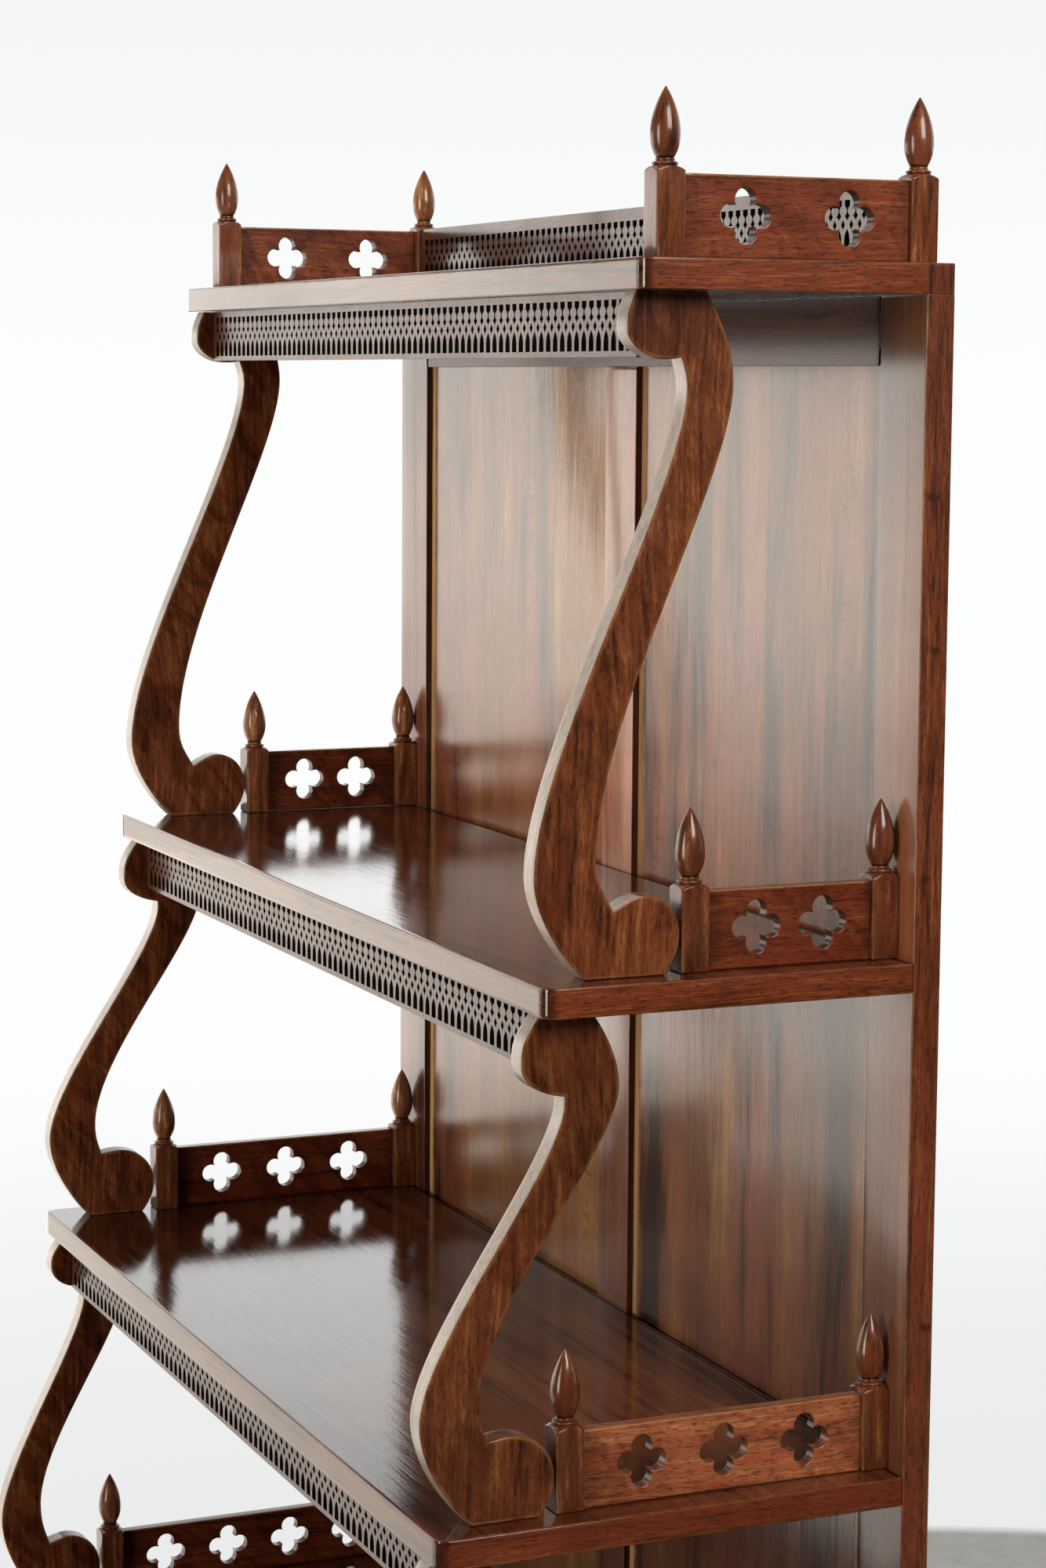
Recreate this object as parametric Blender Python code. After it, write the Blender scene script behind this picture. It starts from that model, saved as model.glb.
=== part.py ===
# Open waterfall bookcase in polished hardwood. Metres, +Z up, front towards -Y.
# The four shelves are counted from the top down, 0 to 3, and so are the bays below them.

import math
from collections import namedtuple

import bmesh
import bpy
from mathutils import Matrix

# General: clearance between pieces that touch, and how far a cutter stands out of the wood
FIT = 0.0003
OVERCUT = 0.002
WIDTH = 1.022

# Shelves
SHELF_THICKNESS = 0.022
SHELF_CORNER_RADIUS = 0.012
TOP_DEPTH = 0.247
SECOND_DEPTH = 0.316
THIRD_DEPTH = 0.395
LOWEST_DEPTH = 0.452
TOP_BAY_HEIGHT = 0.4835
MIDDLE_BAY_HEIGHT = 0.3652
LOWEST_BAY_HEIGHT = 0.3592
PLINTH_HEIGHT = 0.104

# Plinth under the lowest shelf
PLINTH_SETBACK = 0.015
PLINTH_THICKNESS = 0.020
PLINTH_TONGUE = 0.008
PLINTH_TONGUE_MARGIN = 0.018

# Back frame
STILE_WIDTH = 0.067
FRAME_THICKNESS = 0.0225
TOP_RAIL_HEIGHT = 0.0505
MUNTIN_WIDTH = 0.060
PANEL_THICKNESS = 0.009
PANEL_RECESS = 0.006
GROOVE_DEPTH = 0.010
SHELF_TENON = 0.006
SHELF_TENON_WALL = 0.009
STILE_TENON = 0.006
STILE_TENON_WALL = 0.005

# Supports and posts stand in from the ends of the shelves
END_INSET = 0.022
SUPPORT_THICKNESS = 0.019
SUPPORT_TENON = 0.006
SUPPORT_TENON_LENGTH = 0.026

# Posts with turned finials
POST_SIDE = 0.022
POST_CORNER_HEIGHT = 0.0575
POST_SHOULDER_HEIGHT = 0.0625
POST_PIN = 0.007
POST_PIN_SHOULDER = 0.005
POST_TOP_SETBACK = 0.0205
POST_REAR_SETBACK = 0.002
POST_HEEL_GAP = 0.0015
COLLAR_RADIUS = 0.0105
COLLAR_HEIGHT = 0.0655
NECK_RADIUS = 0.0067
NECK_HEIGHT = 0.0690
SHOULDER_RADIUS = 0.0108
BUD_RADIUS = 0.0116
BUD_HEIGHT = 0.0850
FINIAL_HEIGHT = 0.1180
POST_SEGMENTS = 12

# End galleries with quatrefoils
GALLERY_HEIGHT = 0.0585
GALLERY_THICKNESS = 0.011
GALLERY_RECESS = 0.0035
GALLERY_TONGUE = 0.004
GALLERY_END = 0.012
TOP_QUATREFOIL_PITCH = 0.083
SECOND_QUATREFOIL_PITCH = 0.054
THIRD_QUATREFOIL_PITCH = 0.0666
LOWEST_QUATREFOIL_PITCH = 0.065
QUATREFOIL_CENTRE_HEIGHT = 0.0302
QUATREFOIL_LOBE_RADIUS = 0.0084
QUATREFOIL_LOBE_OFFSET = 0.0114
QUATREFOIL_STEPS = 4

# Fret aprons and the fret gallery behind the top shelf
FRET_HEIGHT = 0.046
FRET_THICKNESS = 0.005
FRET_SETBACK = 0.015
FRET_BACKING = 0.008
FRET_PITCH = 0.0127
FRET_END = 0.004
LANCET_HALF_WIDTH = 0.0041
LANCET_BASE = 0.0043
LANCET_SHOULDER = 0.0110
LANCET_APEX = 0.0195
BACK_GALLERY_HEIGHT = 0.060
BACK_GALLERY_LANCET_RAISE = 0.009
BACK_GALLERY_RECESS = 0.0035

# Sizes of one pair of supports. Lengths along the depth run back from the front edge of the shelf
# above for lobe, cusp and neck, and from the front of the toe for ankle and heel.
Support = namedtuple(
    "Support",
    "lobe lobe_height lobe_belly cusp cusp_drop neck neck_drop neck_width neck_rear_drop"
    " toe ankle_height ankle_width heel heel_radius heel_top heel_cusp heel_cusp_height",
)
SUPPORTS = (
    Support(
        lobe=-0.0012, lobe_height=0.0275, lobe_belly=0.0060,
        cusp=0.0410, cusp_drop=0.0463,
        neck=0.0456, neck_drop=0.0660, neck_width=0.0366, neck_rear_drop=0.0640,
        toe=0.0, ankle_height=0.0750, ankle_width=0.0480,
        heel=0.1142, heel_radius=0.0280, heel_top=0.0582, heel_cusp=0.0619, heel_cusp_height=0.0483,
    ),
    Support(
        lobe=-0.0085, lobe_height=0.0360, lobe_belly=-0.0030,
        cusp=0.0249, cusp_drop=0.0598,
        neck=0.0252, neck_drop=0.0640, neck_width=0.0427, neck_rear_drop=0.0550,
        toe=0.0056, ankle_height=0.0780, ankle_width=0.0457,
        heel=0.1043, heel_radius=0.0345, heel_top=0.0623, heel_cusp=0.0518, heel_cusp_height=0.0601,
    ),
    Support(
        lobe=-0.0055, lobe_height=0.0250, lobe_belly=0.0020,
        cusp=0.0262, cusp_drop=0.0460,
        neck=0.0270, neck_drop=0.0540, neck_width=0.0390, neck_rear_drop=0.0550,
        toe=0.0, ankle_height=0.0870, ankle_width=0.0390,
        heel=0.0980, heel_radius=0.0310, heel_top=0.0627, heel_cusp=0.0474, heel_cusp_height=0.0582,
    ),
)
LOBE_TOP = 0.0056
NECK_REAR_SWEEP = 0.0220
TOE_LENGTH = 0.0400
HEEL_TOE_IN = 0.0115
HEEL_MIDDLE = 0.0290
ANKLE_REAR_RISE = 0.0120

# How long the handles of the curves are, as shares of the stretch that each curve covers
CIRCLE_HANDLE = 0.5523
NECK_HANDLE = 0.20
ANKLE_FRONT_HANDLE = 0.25
ANKLE_REAR_HANDLE = 0.30
LOBE_HANDLE = 0.40
TOE_UPPER_HANDLE = 0.64
TOE_LOWER_HANDLE = 0.25
HEEL_HANDLE = 0.60
SWEEP_LOWER_HANDLE = 0.62
SWEEP_UPPER_HANDLE = 0.28
BUD_FOOT_HANDLE = 0.15
BUD_HANDLE = 0.35
BUD_TIP_HANDLE = 0.45
BUD_POINT_HANDLE = 0.22

# Levels and planes that follow from the sizes above
SHELF_DEPTHS = (TOP_DEPTH, SECOND_DEPTH, THIRD_DEPTH, LOWEST_DEPTH)
BAY_HEIGHTS = (TOP_BAY_HEIGHT, MIDDLE_BAY_HEIGHT, LOWEST_BAY_HEIGHT)
QUATREFOIL_PITCHES = (
    TOP_QUATREFOIL_PITCH,
    SECOND_QUATREFOIL_PITCH,
    THIRD_QUATREFOIL_PITCH,
    LOWEST_QUATREFOIL_PITCH,
)
BACK = LOWEST_DEPTH / 2
FRAME_FRONT = BACK - FRAME_THICKNESS
END_FACE = WIDTH / 2 - END_INSET
STILE_INNER = WIDTH / 2 - STILE_WIDTH
TOPS = [0.0, 0.0, 0.0, PLINTH_HEIGHT + FIT + SHELF_THICKNESS]
for bay in (2, 1, 0):
    TOPS[bay] = TOPS[bay + 1] + BAY_HEIGHTS[bay] + SHELF_THICKNESS
UNDERSIDES = [top - SHELF_THICKNESS for top in TOPS]
FRONTS = [BACK - depth for depth in SHELF_DEPTHS]
POST_PIN_SIDE = POST_SIDE - 2 * POST_PIN_SHOULDER
PANEL_FRONT = FRAME_FRONT + PANEL_RECESS
PANEL_REAR = PANEL_FRONT + PANEL_THICKNESS

# How a flat outline is turned into place: lying flat, facing the front, or facing sideways
LYING = Matrix.Identity(4)
FACING = Matrix.Rotation(math.pi / 2, 4, "X")
SIDEWAYS = Matrix(((0, 0, 1, 0), (1, 0, 0, 0), (0, 1, 0, 0), (0, 0, 0, 1)))


def wood(name, colour, roughness):
    material = bpy.data.materials.new(name)
    material.use_nodes = True
    shader = material.node_tree.nodes["Principled BSDF"]
    shader.inputs["Base Color"].default_value = (*colour, 1.0)
    shader.inputs["Roughness"].default_value = roughness
    shader.inputs["Metallic"].default_value = 0.0
    return material


def add_object(name, bm, matrix, material):
    bmesh.ops.recalc_face_normals(bm, faces=bm.faces[:])
    mesh = bpy.data.meshes.new(name)
    bm.to_mesh(mesh)
    bm.free()
    mesh.materials.append(material)
    obj = bpy.data.objects.new(name, mesh)
    obj.matrix_world = matrix
    bpy.context.collection.objects.link(obj)
    return obj


def plate(name, outline, thickness, turn, place, material, holes=()):
    # A flat board of any outline, with holes right through it and its origin in the middle.
    middle = [(min(values) + max(values)) / 2 for values in zip(*outline)]
    bm = bmesh.new()
    for loop in (outline, *holes):
        verts = [bm.verts.new((u - middle[0], v - middle[1], 0.0)) for u, v in loop]
        for first, second in zip(verts, verts[1:] + verts[:1]):
            bm.edges.new((first, second))
    bmesh.ops.triangle_fill(bm, use_beauty=True, edges=bm.edges[:])
    grown = bmesh.ops.extrude_face_region(bm, geom=bm.faces[:])
    moved = [item for item in grown["geom"] if isinstance(item, bmesh.types.BMVert)]
    bmesh.ops.translate(bm, vec=(0.0, 0.0, thickness), verts=moved)
    centred = Matrix.Translation(place) @ turn @ Matrix.Translation((*middle, 0.0))
    return add_object(name, bm, centred, material)


def add_box(bm, low, high):
    size = [b - a for a, b in zip(low, high)]
    middle = [(a + b) / 2 for a, b in zip(low, high)]
    matrix = Matrix.Translation(middle) @ Matrix.Diagonal((*size, 1.0))
    bmesh.ops.create_cube(bm, size=1.0, matrix=matrix)


def box(name, low, high, material):
    middle = [(a + b) / 2 for a, b in zip(low, high)]
    bm = bmesh.new()
    add_box(bm, [a - m for a, m in zip(low, middle)], [b - m for b, m in zip(high, middle)])
    return add_object(name, bm, Matrix.Translation(middle), material)


def boolean(obj, operation, boxes):
    # Cuts mortises and grooves, or adds tenons, as boxes given by two corners in world places.
    bm = bmesh.new()
    for low, high in boxes:
        add_box(bm, low, high)
    tool = add_object(f"{obj.name}.{operation.lower()}", bm, LYING, obj.data.materials[0])
    tool.hide_render = True
    tool.display_type = "WIRE"
    modifier = obj.modifiers.new(operation.title(), "BOOLEAN")
    modifier.operation = operation
    modifier.solver = "EXACT"
    modifier.object = tool


def curve(start, first, second, end, steps):
    # Points of a cubic curve after its start.
    points = []
    for step in range(1, steps + 1):
        t = step / steps
        s = 1 - t
        weights = (s**3, 3 * s * s * t, 3 * s * t * t, t**3)
        corners = (start, first, second, end)
        points.append(tuple(sum(w * c[i] for w, c in zip(weights, corners)) for i in (0, 1)))
    return points


def arc(centre, radius, start, end, steps):
    points = []
    for step in range(steps + 1):
        angle = math.radians(start + (end - start) * step / steps)
        points.append((centre[0] + radius * math.cos(angle), centre[1] + radius * math.sin(angle)))
    return points


def rectangle(left, bottom, right, top):
    return [(left, bottom), (right, bottom), (right, top), (left, top)]


def post_places(shelf):
    # Depth of the axes of the front and rear posts on a shelf.
    half = POST_SIDE / 2
    if shelf == 0:
        return FRONTS[0] + POST_TOP_SETBACK + half, BACK - POST_REAR_SETBACK - half
    sizes = SUPPORTS[shelf - 1]
    front = FRONTS[shelf] - sizes.toe + sizes.heel + POST_HEEL_GAP + half
    return front, FRAME_FRONT - FIT - half


def support_tenons(bay):
    # Depth of the middles of the upper and lower tenons of the supports in a bay.
    sizes = SUPPORTS[bay]
    upper_rear = sizes.neck + sizes.neck_width - NECK_REAR_SWEEP
    upper = FRONTS[bay] + (LOBE_TOP + upper_rear) / 2
    lower = FRONTS[bay + 1] - sizes.toe + (TOE_LENGTH + sizes.heel - HEEL_TOE_IN) / 2
    return upper, lower


def support_outline(bay):
    # Front lobe, cusp, long S, toe, heel lobe and back, with a stub tenon at each end.
    sizes = SUPPORTS[bay]
    front = FRONTS[bay]
    top = UNDERSIDES[bay] - FIT
    foot = TOPS[bay + 1] + FIT
    toe = FRONTS[bay + 1] - sizes.toe
    upper_tenon, lower_tenon = support_tenons(bay)
    half = SUPPORT_TENON_LENGTH / 2

    lobe = (front + sizes.lobe, top - sizes.lobe_height)
    cusp = (front + sizes.cusp, top - sizes.cusp_drop)
    neck = (front + sizes.neck, top - sizes.neck_drop)
    ankle = (toe, foot + sizes.ankle_height)
    toe_end = (toe + TOE_LENGTH, foot)
    heel_end = (toe + sizes.heel - HEEL_TOE_IN, foot)
    heel = (toe + sizes.heel, foot + HEEL_MIDDLE)
    heel_top = (heel[0] - sizes.heel_radius, foot + sizes.heel_top)
    heel_cusp = (toe + sizes.heel_cusp, foot + sizes.heel_cusp_height)
    ankle_rear = (toe + sizes.ankle_width, ankle[1] + ANKLE_REAR_RISE)
    neck_rear = (neck[0] + sizes.neck_width, top - sizes.neck_rear_drop)
    top_rear = (neck_rear[0] - NECK_REAR_SWEEP, top)
    top_front = (front + LOBE_TOP, top)

    belly = cusp[1] - sizes.lobe_belly
    body = neck[1] - ankle[1]
    rear = neck_rear[1] - ankle_rear[1]
    rise = heel_top[1] - heel[1]

    outline = [top_front]
    outline += curve(
        top_front, (lobe[0], (top + lobe[1]) / 2), (lobe[0], (top + 2 * lobe[1]) / 3), lobe, 3)
    outline += curve(
        lobe, (lobe[0], (lobe[1] + cusp[1]) / 2),
        (lobe[0] + LOBE_HANDLE * (cusp[0] - lobe[0]), belly), cusp, 5)
    outline += curve(
        cusp, ((cusp[0] + neck[0]) / 2, (2 * cusp[1] + neck[1]) / 3),
        (neck[0], (cusp[1] + 2 * neck[1]) / 3), neck, 2)
    outline += curve(
        neck, (neck[0], neck[1] - NECK_HANDLE * body),
        (ankle[0], ankle[1] + ANKLE_FRONT_HANDLE * body), ankle, 9)
    outline += curve(
        ankle, (ankle[0], foot + TOE_UPPER_HANDLE * sizes.ankle_height),
        (toe + TOE_LENGTH / 2, foot + TOE_LOWER_HANDLE * sizes.ankle_height), toe_end, 4)
    outline += [
        (lower_tenon - half, foot), (lower_tenon - half, foot - SUPPORT_TENON),
        (lower_tenon + half, foot - SUPPORT_TENON), (lower_tenon + half, foot)]
    outline += [heel_end]
    outline += curve(
        heel_end, (heel[0] - HEEL_TOE_IN / 3, foot + HEEL_MIDDLE / 3),
        (heel[0], foot + HEEL_HANDLE * HEEL_MIDDLE), heel, 3)
    outline += curve(
        heel, (heel[0], heel[1] + CIRCLE_HANDLE * rise),
        (heel_top[0] + CIRCLE_HANDLE * sizes.heel_radius, heel_top[1]), heel_top, 4)
    outline += curve(
        heel_top, ((2 * heel_top[0] + heel_cusp[0]) / 3, heel_top[1]),
        ((heel_top[0] + 2 * heel_cusp[0]) / 3, (heel_top[1] + heel_cusp[1]) / 2), heel_cusp, 3)
    outline += curve(
        heel_cusp, ((heel_cusp[0] + ankle_rear[0]) / 2, (2 * heel_cusp[1] + ankle_rear[1]) / 3),
        (ankle_rear[0], (heel_cusp[1] + ankle_rear[1]) / 2), ankle_rear, 3)
    outline += curve(
        ankle_rear, (ankle_rear[0], ankle_rear[1] + ANKLE_REAR_HANDLE * rear),
        (neck_rear[0], neck_rear[1] - NECK_HANDLE * rear), neck_rear, 9)
    outline += curve(
        neck_rear, (neck_rear[0], top - SWEEP_LOWER_HANDLE * sizes.neck_rear_drop),
        (top_rear[0] + NECK_REAR_SWEEP / 2, top - SWEEP_UPPER_HANDLE * sizes.neck_rear_drop), top_rear, 4)
    outline += [
        (upper_tenon + half, top), (upper_tenon + half, top + SUPPORT_TENON),
        (upper_tenon - half, top + SUPPORT_TENON), (upper_tenon - half, top)]
    return outline


def square_ring(half, height, count):
    # Points round a square, corner first, as many on each side.
    corners = [(half, half), (-half, half), (-half, -half), (half, -half)]
    ring = []
    per_side = count // 4
    for side in range(4):
        a = corners[side]
        b = corners[(side + 1) % 4]
        for step in range(per_side):
            t = step / per_side
            ring.append((a[0] + (b[0] - a[0]) * t, a[1] + (b[1] - a[1]) * t, height))
    return ring


def round_ring(radius, height, count):
    ring = []
    for step in range(count):
        angle = math.pi / 4 + 2 * math.pi * step / count
        ring.append((radius * math.cos(angle), radius * math.sin(angle), height))
    return ring


def finial_profile():
    # Radius and height of the turning, from the shoulder of the post to just below the tip.
    tip = (0.0, FINIAL_HEIGHT)
    neck = (NECK_RADIUS, NECK_HEIGHT)
    bud = (BUD_RADIUS, BUD_HEIGHT)
    swell = BUD_HEIGHT - NECK_HEIGHT
    point = FINIAL_HEIGHT - BUD_HEIGHT
    profile = [(SHOULDER_RADIUS, POST_SHOULDER_HEIGHT), (COLLAR_RADIUS, COLLAR_HEIGHT), neck]
    profile += curve(
        neck, (BUD_RADIUS, NECK_HEIGHT + BUD_FOOT_HANDLE * swell),
        (BUD_RADIUS, BUD_HEIGHT - CIRCLE_HANDLE * swell), bud, 2)
    profile += curve(
        bud, (BUD_RADIUS, BUD_HEIGHT + BUD_HANDLE * point),
        (BUD_TIP_HANDLE * BUD_RADIUS, FINIAL_HEIGHT - BUD_POINT_HANDLE * point), tip, 4)
    return profile[:-1]


def post(name, x, y, base, material):
    # Pin, square shaft, rounded shoulder and turned finial, lofted through rings.
    half = POST_SIDE / 2
    pin = POST_PIN_SIDE / 2
    rings = [square_ring(pin, -POST_PIN, POST_SEGMENTS), square_ring(pin, 0.0, POST_SEGMENTS)]
    rings += [square_ring(half, 0.0, POST_SEGMENTS), square_ring(half, POST_CORNER_HEIGHT, POST_SEGMENTS)]
    rings += [round_ring(radius, height, POST_SEGMENTS) for radius, height in finial_profile()]
    bm = bmesh.new()
    loops = [[bm.verts.new(point) for point in ring] for ring in rings]
    bm.faces.new(loops[0])
    for lower, upper in zip(loops, loops[1:]):
        for step in range(POST_SEGMENTS):
            after = (step + 1) % POST_SEGMENTS
            bm.faces.new((lower[step], lower[after], upper[after], upper[step]))
    tip = bm.verts.new((0.0, 0.0, FINIAL_HEIGHT))
    for step in range(POST_SEGMENTS):
        bm.faces.new((loops[-1][step], loops[-1][(step + 1) % POST_SEGMENTS], tip))
    obj = add_object(name, bm, Matrix.Translation((x, y, base)), material)
    obj.data.shade_smooth()
    obj.data.set_sharp_from_angle(angle=math.radians(40))
    return obj


def quatrefoil(centre):
    # Four round lobes that meet in cusps on the diagonals.
    offset = QUATREFOIL_LOBE_OFFSET
    radius = QUATREFOIL_LOBE_RADIUS
    cusp = (offset + math.sqrt(2 * radius * radius - offset * offset)) / 2
    spread = math.degrees(math.atan2(cusp, cusp - offset))
    points = []
    for quarter in range(4):
        facing = 90 * quarter
        turn = math.radians(facing)
        middle = (centre[0] + offset * math.cos(turn), centre[1] + offset * math.sin(turn))
        points += arc(middle, radius, facing - spread, facing + spread, QUATREFOIL_STEPS)[:-1]
    return points


def quatrefoil_row(shelf, start, end):
    # Copies centred between two posts, as many as the length holds.
    size = 2 * (QUATREFOIL_LOBE_OFFSET + QUATREFOIL_LOBE_RADIUS)
    pitch = QUATREFOIL_PITCHES[shelf]
    count = int((end - start - size - 2 * GALLERY_END) / pitch) + 1
    middle = (start + end) / 2
    return [middle + (number - (count - 1) / 2) * pitch for number in range(count)]


def lancet_row(half_length, base):
    # Pointed openings side by side, with a solid end at each side.
    count = int(2 * (half_length - FRET_END) / FRET_PITCH)
    openings = []
    for number in range(count):
        x = (number - (count - 1) / 2) * FRET_PITCH
        openings.append([
            (x - LANCET_HALF_WIDTH, base + LANCET_BASE),
            (x + LANCET_HALF_WIDTH, base + LANCET_BASE),
            (x + LANCET_HALF_WIDTH, base + LANCET_SHOULDER),
            (x, base + LANCET_APEX),
            (x - LANCET_HALF_WIDTH, base + LANCET_SHOULDER),
        ])
    return openings


def build_shelves(material):
    for shelf in range(4):
        half = WIDTH / 2
        radius = SHELF_CORNER_RADIUS
        front = FRONTS[shelf]
        rear = BACK if shelf == 0 else FRAME_FRONT - FIT
        outline = [(-half, rear)]
        outline += arc((radius - half, front + radius), radius, 180, 270, 5)
        outline += arc((half - radius, front + radius), radius, 270, 360, 5)
        outline += [(half, rear)]
        if shelf > 0:
            inner, outer = shelf_tenon_span()
            tenon = rear + FIT + SHELF_TENON
            outline += [(outer, rear), (outer, tenon), (inner, tenon), (inner, rear)]
            outline += [(-inner, rear), (-inner, tenon), (-outer, tenon), (-outer, rear)]
        place = (0.0, 0.0, UNDERSIDES[shelf])
        obj = plate(f"shelf_{shelf + 1}", outline, SHELF_THICKNESS, LYING, place, material)
        boolean(obj, "DIFFERENCE", shelf_mortises(shelf))


def shelf_tenon_span():
    # Inner and outer ends, along the width, of a shelf's tenon in the right stile.
    return STILE_INNER + GROOVE_DEPTH + SHELF_TENON_WALL, WIDTH / 2 - SHELF_TENON_WALL


def shelf_mortises(shelf):
    top = TOPS[shelf]
    underside = UNDERSIDES[shelf]
    pin = POST_PIN_SIDE / 2 + FIT
    length = SUPPORT_TENON_LENGTH / 2 + FIT
    boxes = []
    for side in (-1, 1):
        axis = side * (END_FACE - POST_SIDE / 2)
        for y in post_places(shelf):
            boxes.append((
                (axis - pin, y - pin, top - POST_PIN),
                (axis + pin, y + pin, top + OVERCUT)))
        middle = side * (END_FACE - SUPPORT_THICKNESS / 2)
        half = SUPPORT_THICKNESS / 2 + FIT
        if shelf > 0:
            y = support_tenons(shelf - 1)[1]
            boxes.append((
                (middle - half, y - length, top - SUPPORT_TENON),
                (middle + half, y + length, top + OVERCUT)))
        if shelf < 3:
            y = support_tenons(shelf)[0]
            boxes.append((
                (middle - half, y - length, underside - OVERCUT),
                (middle + half, y + length, underside + SUPPORT_TENON)))
        if shelf == 0:
            low, high = stile_tenon(side)
            boxes.append((
                (low[0] - FIT, low[1] - FIT, underside - OVERCUT),
                (high[0] + FIT, high[1] + FIT, high[2] + FIT)))
    return boxes


def stile_tenon(side):
    # Tenon on top of a stile, as two corners.
    near = STILE_INNER + GROOVE_DEPTH + STILE_TENON_WALL
    far = WIDTH / 2 - STILE_TENON_WALL
    left, right = sorted((side * near, side * far))
    top = UNDERSIDES[0] - FIT
    low = (left, FRAME_FRONT + STILE_TENON_WALL, top - 2 * STILE_TENON)
    high = (right, BACK - STILE_TENON_WALL, top + STILE_TENON)
    return low, high


def build_back(frame_material, panel_material):
    top = UNDERSIDES[0] - FIT
    rail_low = top - TOP_RAIL_HEIGHT
    near = PANEL_FRONT - FIT
    far = PANEL_REAR + FIT
    depth = GROOVE_DEPTH
    reach = depth - FIT
    shoulder = STILE_INNER - FIT

    for side, word in ((-1, "left"), (1, "right")):
        inner = side * STILE_INNER
        outer = side * WIDTH / 2
        bed = side * (STILE_INNER + depth)
        outline = [
            (inner, FRAME_FRONT), (outer, FRAME_FRONT), (outer, BACK), (inner, BACK),
            (inner, far), (bed, far), (bed, near), (inner, near)]
        stile = plate(f"stile_{word}", outline, top, LYING, (0.0, 0.0, 0.0), frame_material)
        boolean(stile, "UNION", [stile_tenon(side)])
        tenon_inner, tenon_outer = shelf_tenon_span()
        left, right = sorted((side * tenon_inner, side * tenon_outer))
        mortises = []
        for shelf in (1, 2, 3):
            mortises.append((
                (left - FIT, FRAME_FRONT - OVERCUT, UNDERSIDES[shelf] - FIT),
                (right + FIT, FRAME_FRONT + SHELF_TENON + FIT, TOPS[shelf] + FIT)))
        boolean(stile, "DIFFERENCE", mortises)

    rails = (("top_rail", rail_low, top, -1), ("bottom_rail", 0.0, PLINTH_HEIGHT, 1))
    for name, low, high, groove_side in rails:
        edge, solid = (low, high) if groove_side < 0 else (high, low)
        bed = edge - groove_side * depth
        outline = [
            (FRAME_FRONT, solid), (BACK, solid), (BACK, edge),
            (far, edge), (far, bed), (near, bed), (near, edge), (FRAME_FRONT, edge)]
        rail = plate(name, outline, 2 * shoulder, SIDEWAYS, (-shoulder, 0.0, 0.0), frame_material)
        tenon_low, tenon_high = sorted((solid + groove_side * 2 * FIT, bed - groove_side * 2 * FIT))
        boolean(rail, "UNION", [(
            (-STILE_INNER - reach, PANEL_FRONT, tenon_low), (STILE_INNER + reach, PANEL_REAR, tenon_high))])

    half = MUNTIN_WIDTH / 2
    outline = [
        (-half, FRAME_FRONT), (half, FRAME_FRONT), (half, near), (half - depth, near),
        (half - depth, far), (half, far), (half, BACK), (-half, BACK),
        (-half, far), (depth - half, far), (depth - half, near), (-half, near)]
    low = PLINTH_HEIGHT + FIT
    high = rail_low - FIT
    muntin = plate("muntin", outline, high - low, LYING, (0.0, 0.0, low), frame_material)
    core = half - depth - 2 * FIT
    boolean(muntin, "UNION", [(
        (-core, PANEL_FRONT, PLINTH_HEIGHT - reach), (core, PANEL_REAR, rail_low + reach))])

    for side, word in ((-1, "left"), (1, "right")):
        left, right = sorted((side * (half - reach), side * (STILE_INNER + reach)))
        box(
            f"back_panel_{word}", (left, PANEL_FRONT, PLINTH_HEIGHT - reach),
            (right, PANEL_REAR, rail_low + reach), panel_material)


def build_supports(material):
    for bay in range(3):
        outline = support_outline(bay)
        for word, start in (("left", -END_FACE), ("right", END_FACE - SUPPORT_THICKNESS)):
            plate(
                f"support_{bay + 1}_{word}", outline, SUPPORT_THICKNESS, SIDEWAYS,
                (start, 0.0, 0.0), material)


def back_gallery_planes():
    # Front of the fret, joint with its board, and rear of the board.
    face = post_places(0)[1] - POST_SIDE / 2 + BACK_GALLERY_RECESS
    joint = face + FRET_THICKNESS
    return face, joint, joint + FIT + FRET_BACKING


def build_galleries(post_material, panel_material):
    half = POST_SIDE / 2
    for shelf in range(4):
        base = TOPS[shelf] + FIT
        front_axis, rear_axis = post_places(shelf)
        start = front_axis + half
        end = rear_axis - half
        tongue = GALLERY_TONGUE
        for side, word in ((-1, "left"), (1, "right")):
            axis = side * (END_FACE - half)
            outer = side * (END_FACE - GALLERY_RECESS)
            inner = side * (END_FACE - GALLERY_RECESS - GALLERY_THICKNESS)
            left, right = sorted((outer, inner))
            slot_low = (left - FIT, start - tongue - FIT, TOPS[shelf] - FIT)
            slot_high = (right + FIT, end + tongue + FIT, base + GALLERY_HEIGHT + FIT)

            front = post(f"post_{shelf + 1}_front_{word}", axis, front_axis, base, post_material)
            boolean(front, "DIFFERENCE", [(slot_low, (slot_high[0], start + OVERCUT, slot_high[2]))])

            rear = post(f"post_{shelf + 1}_rear_{word}", axis, rear_axis, base, post_material)
            slots = [((slot_low[0], end - OVERCUT, slot_low[2]), slot_high)]
            if shelf == 0:
                joint, board_rear = back_gallery_planes()[1:]
                face = END_FACE - POST_SIDE
                low_x, high_x = sorted((side * (face - OVERCUT), side * (face + tongue + FIT)))
                slots.append((
                    (low_x, joint, slot_low[2]),
                    (high_x, board_rear + FIT, base + BACK_GALLERY_HEIGHT + FIT)))
            boolean(rear, "DIFFERENCE", slots)

            outline = rectangle(start - tongue, base, end + tongue, base + GALLERY_HEIGHT)
            height = base + QUATREFOIL_CENTRE_HEIGHT
            holes = [quatrefoil((y, height)) for y in quatrefoil_row(shelf, start, end)]
            plate(
                f"gallery_{shelf + 1}_{word}", outline, GALLERY_THICKNESS, SIDEWAYS,
                (left, 0.0, 0.0), panel_material, holes)


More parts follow.
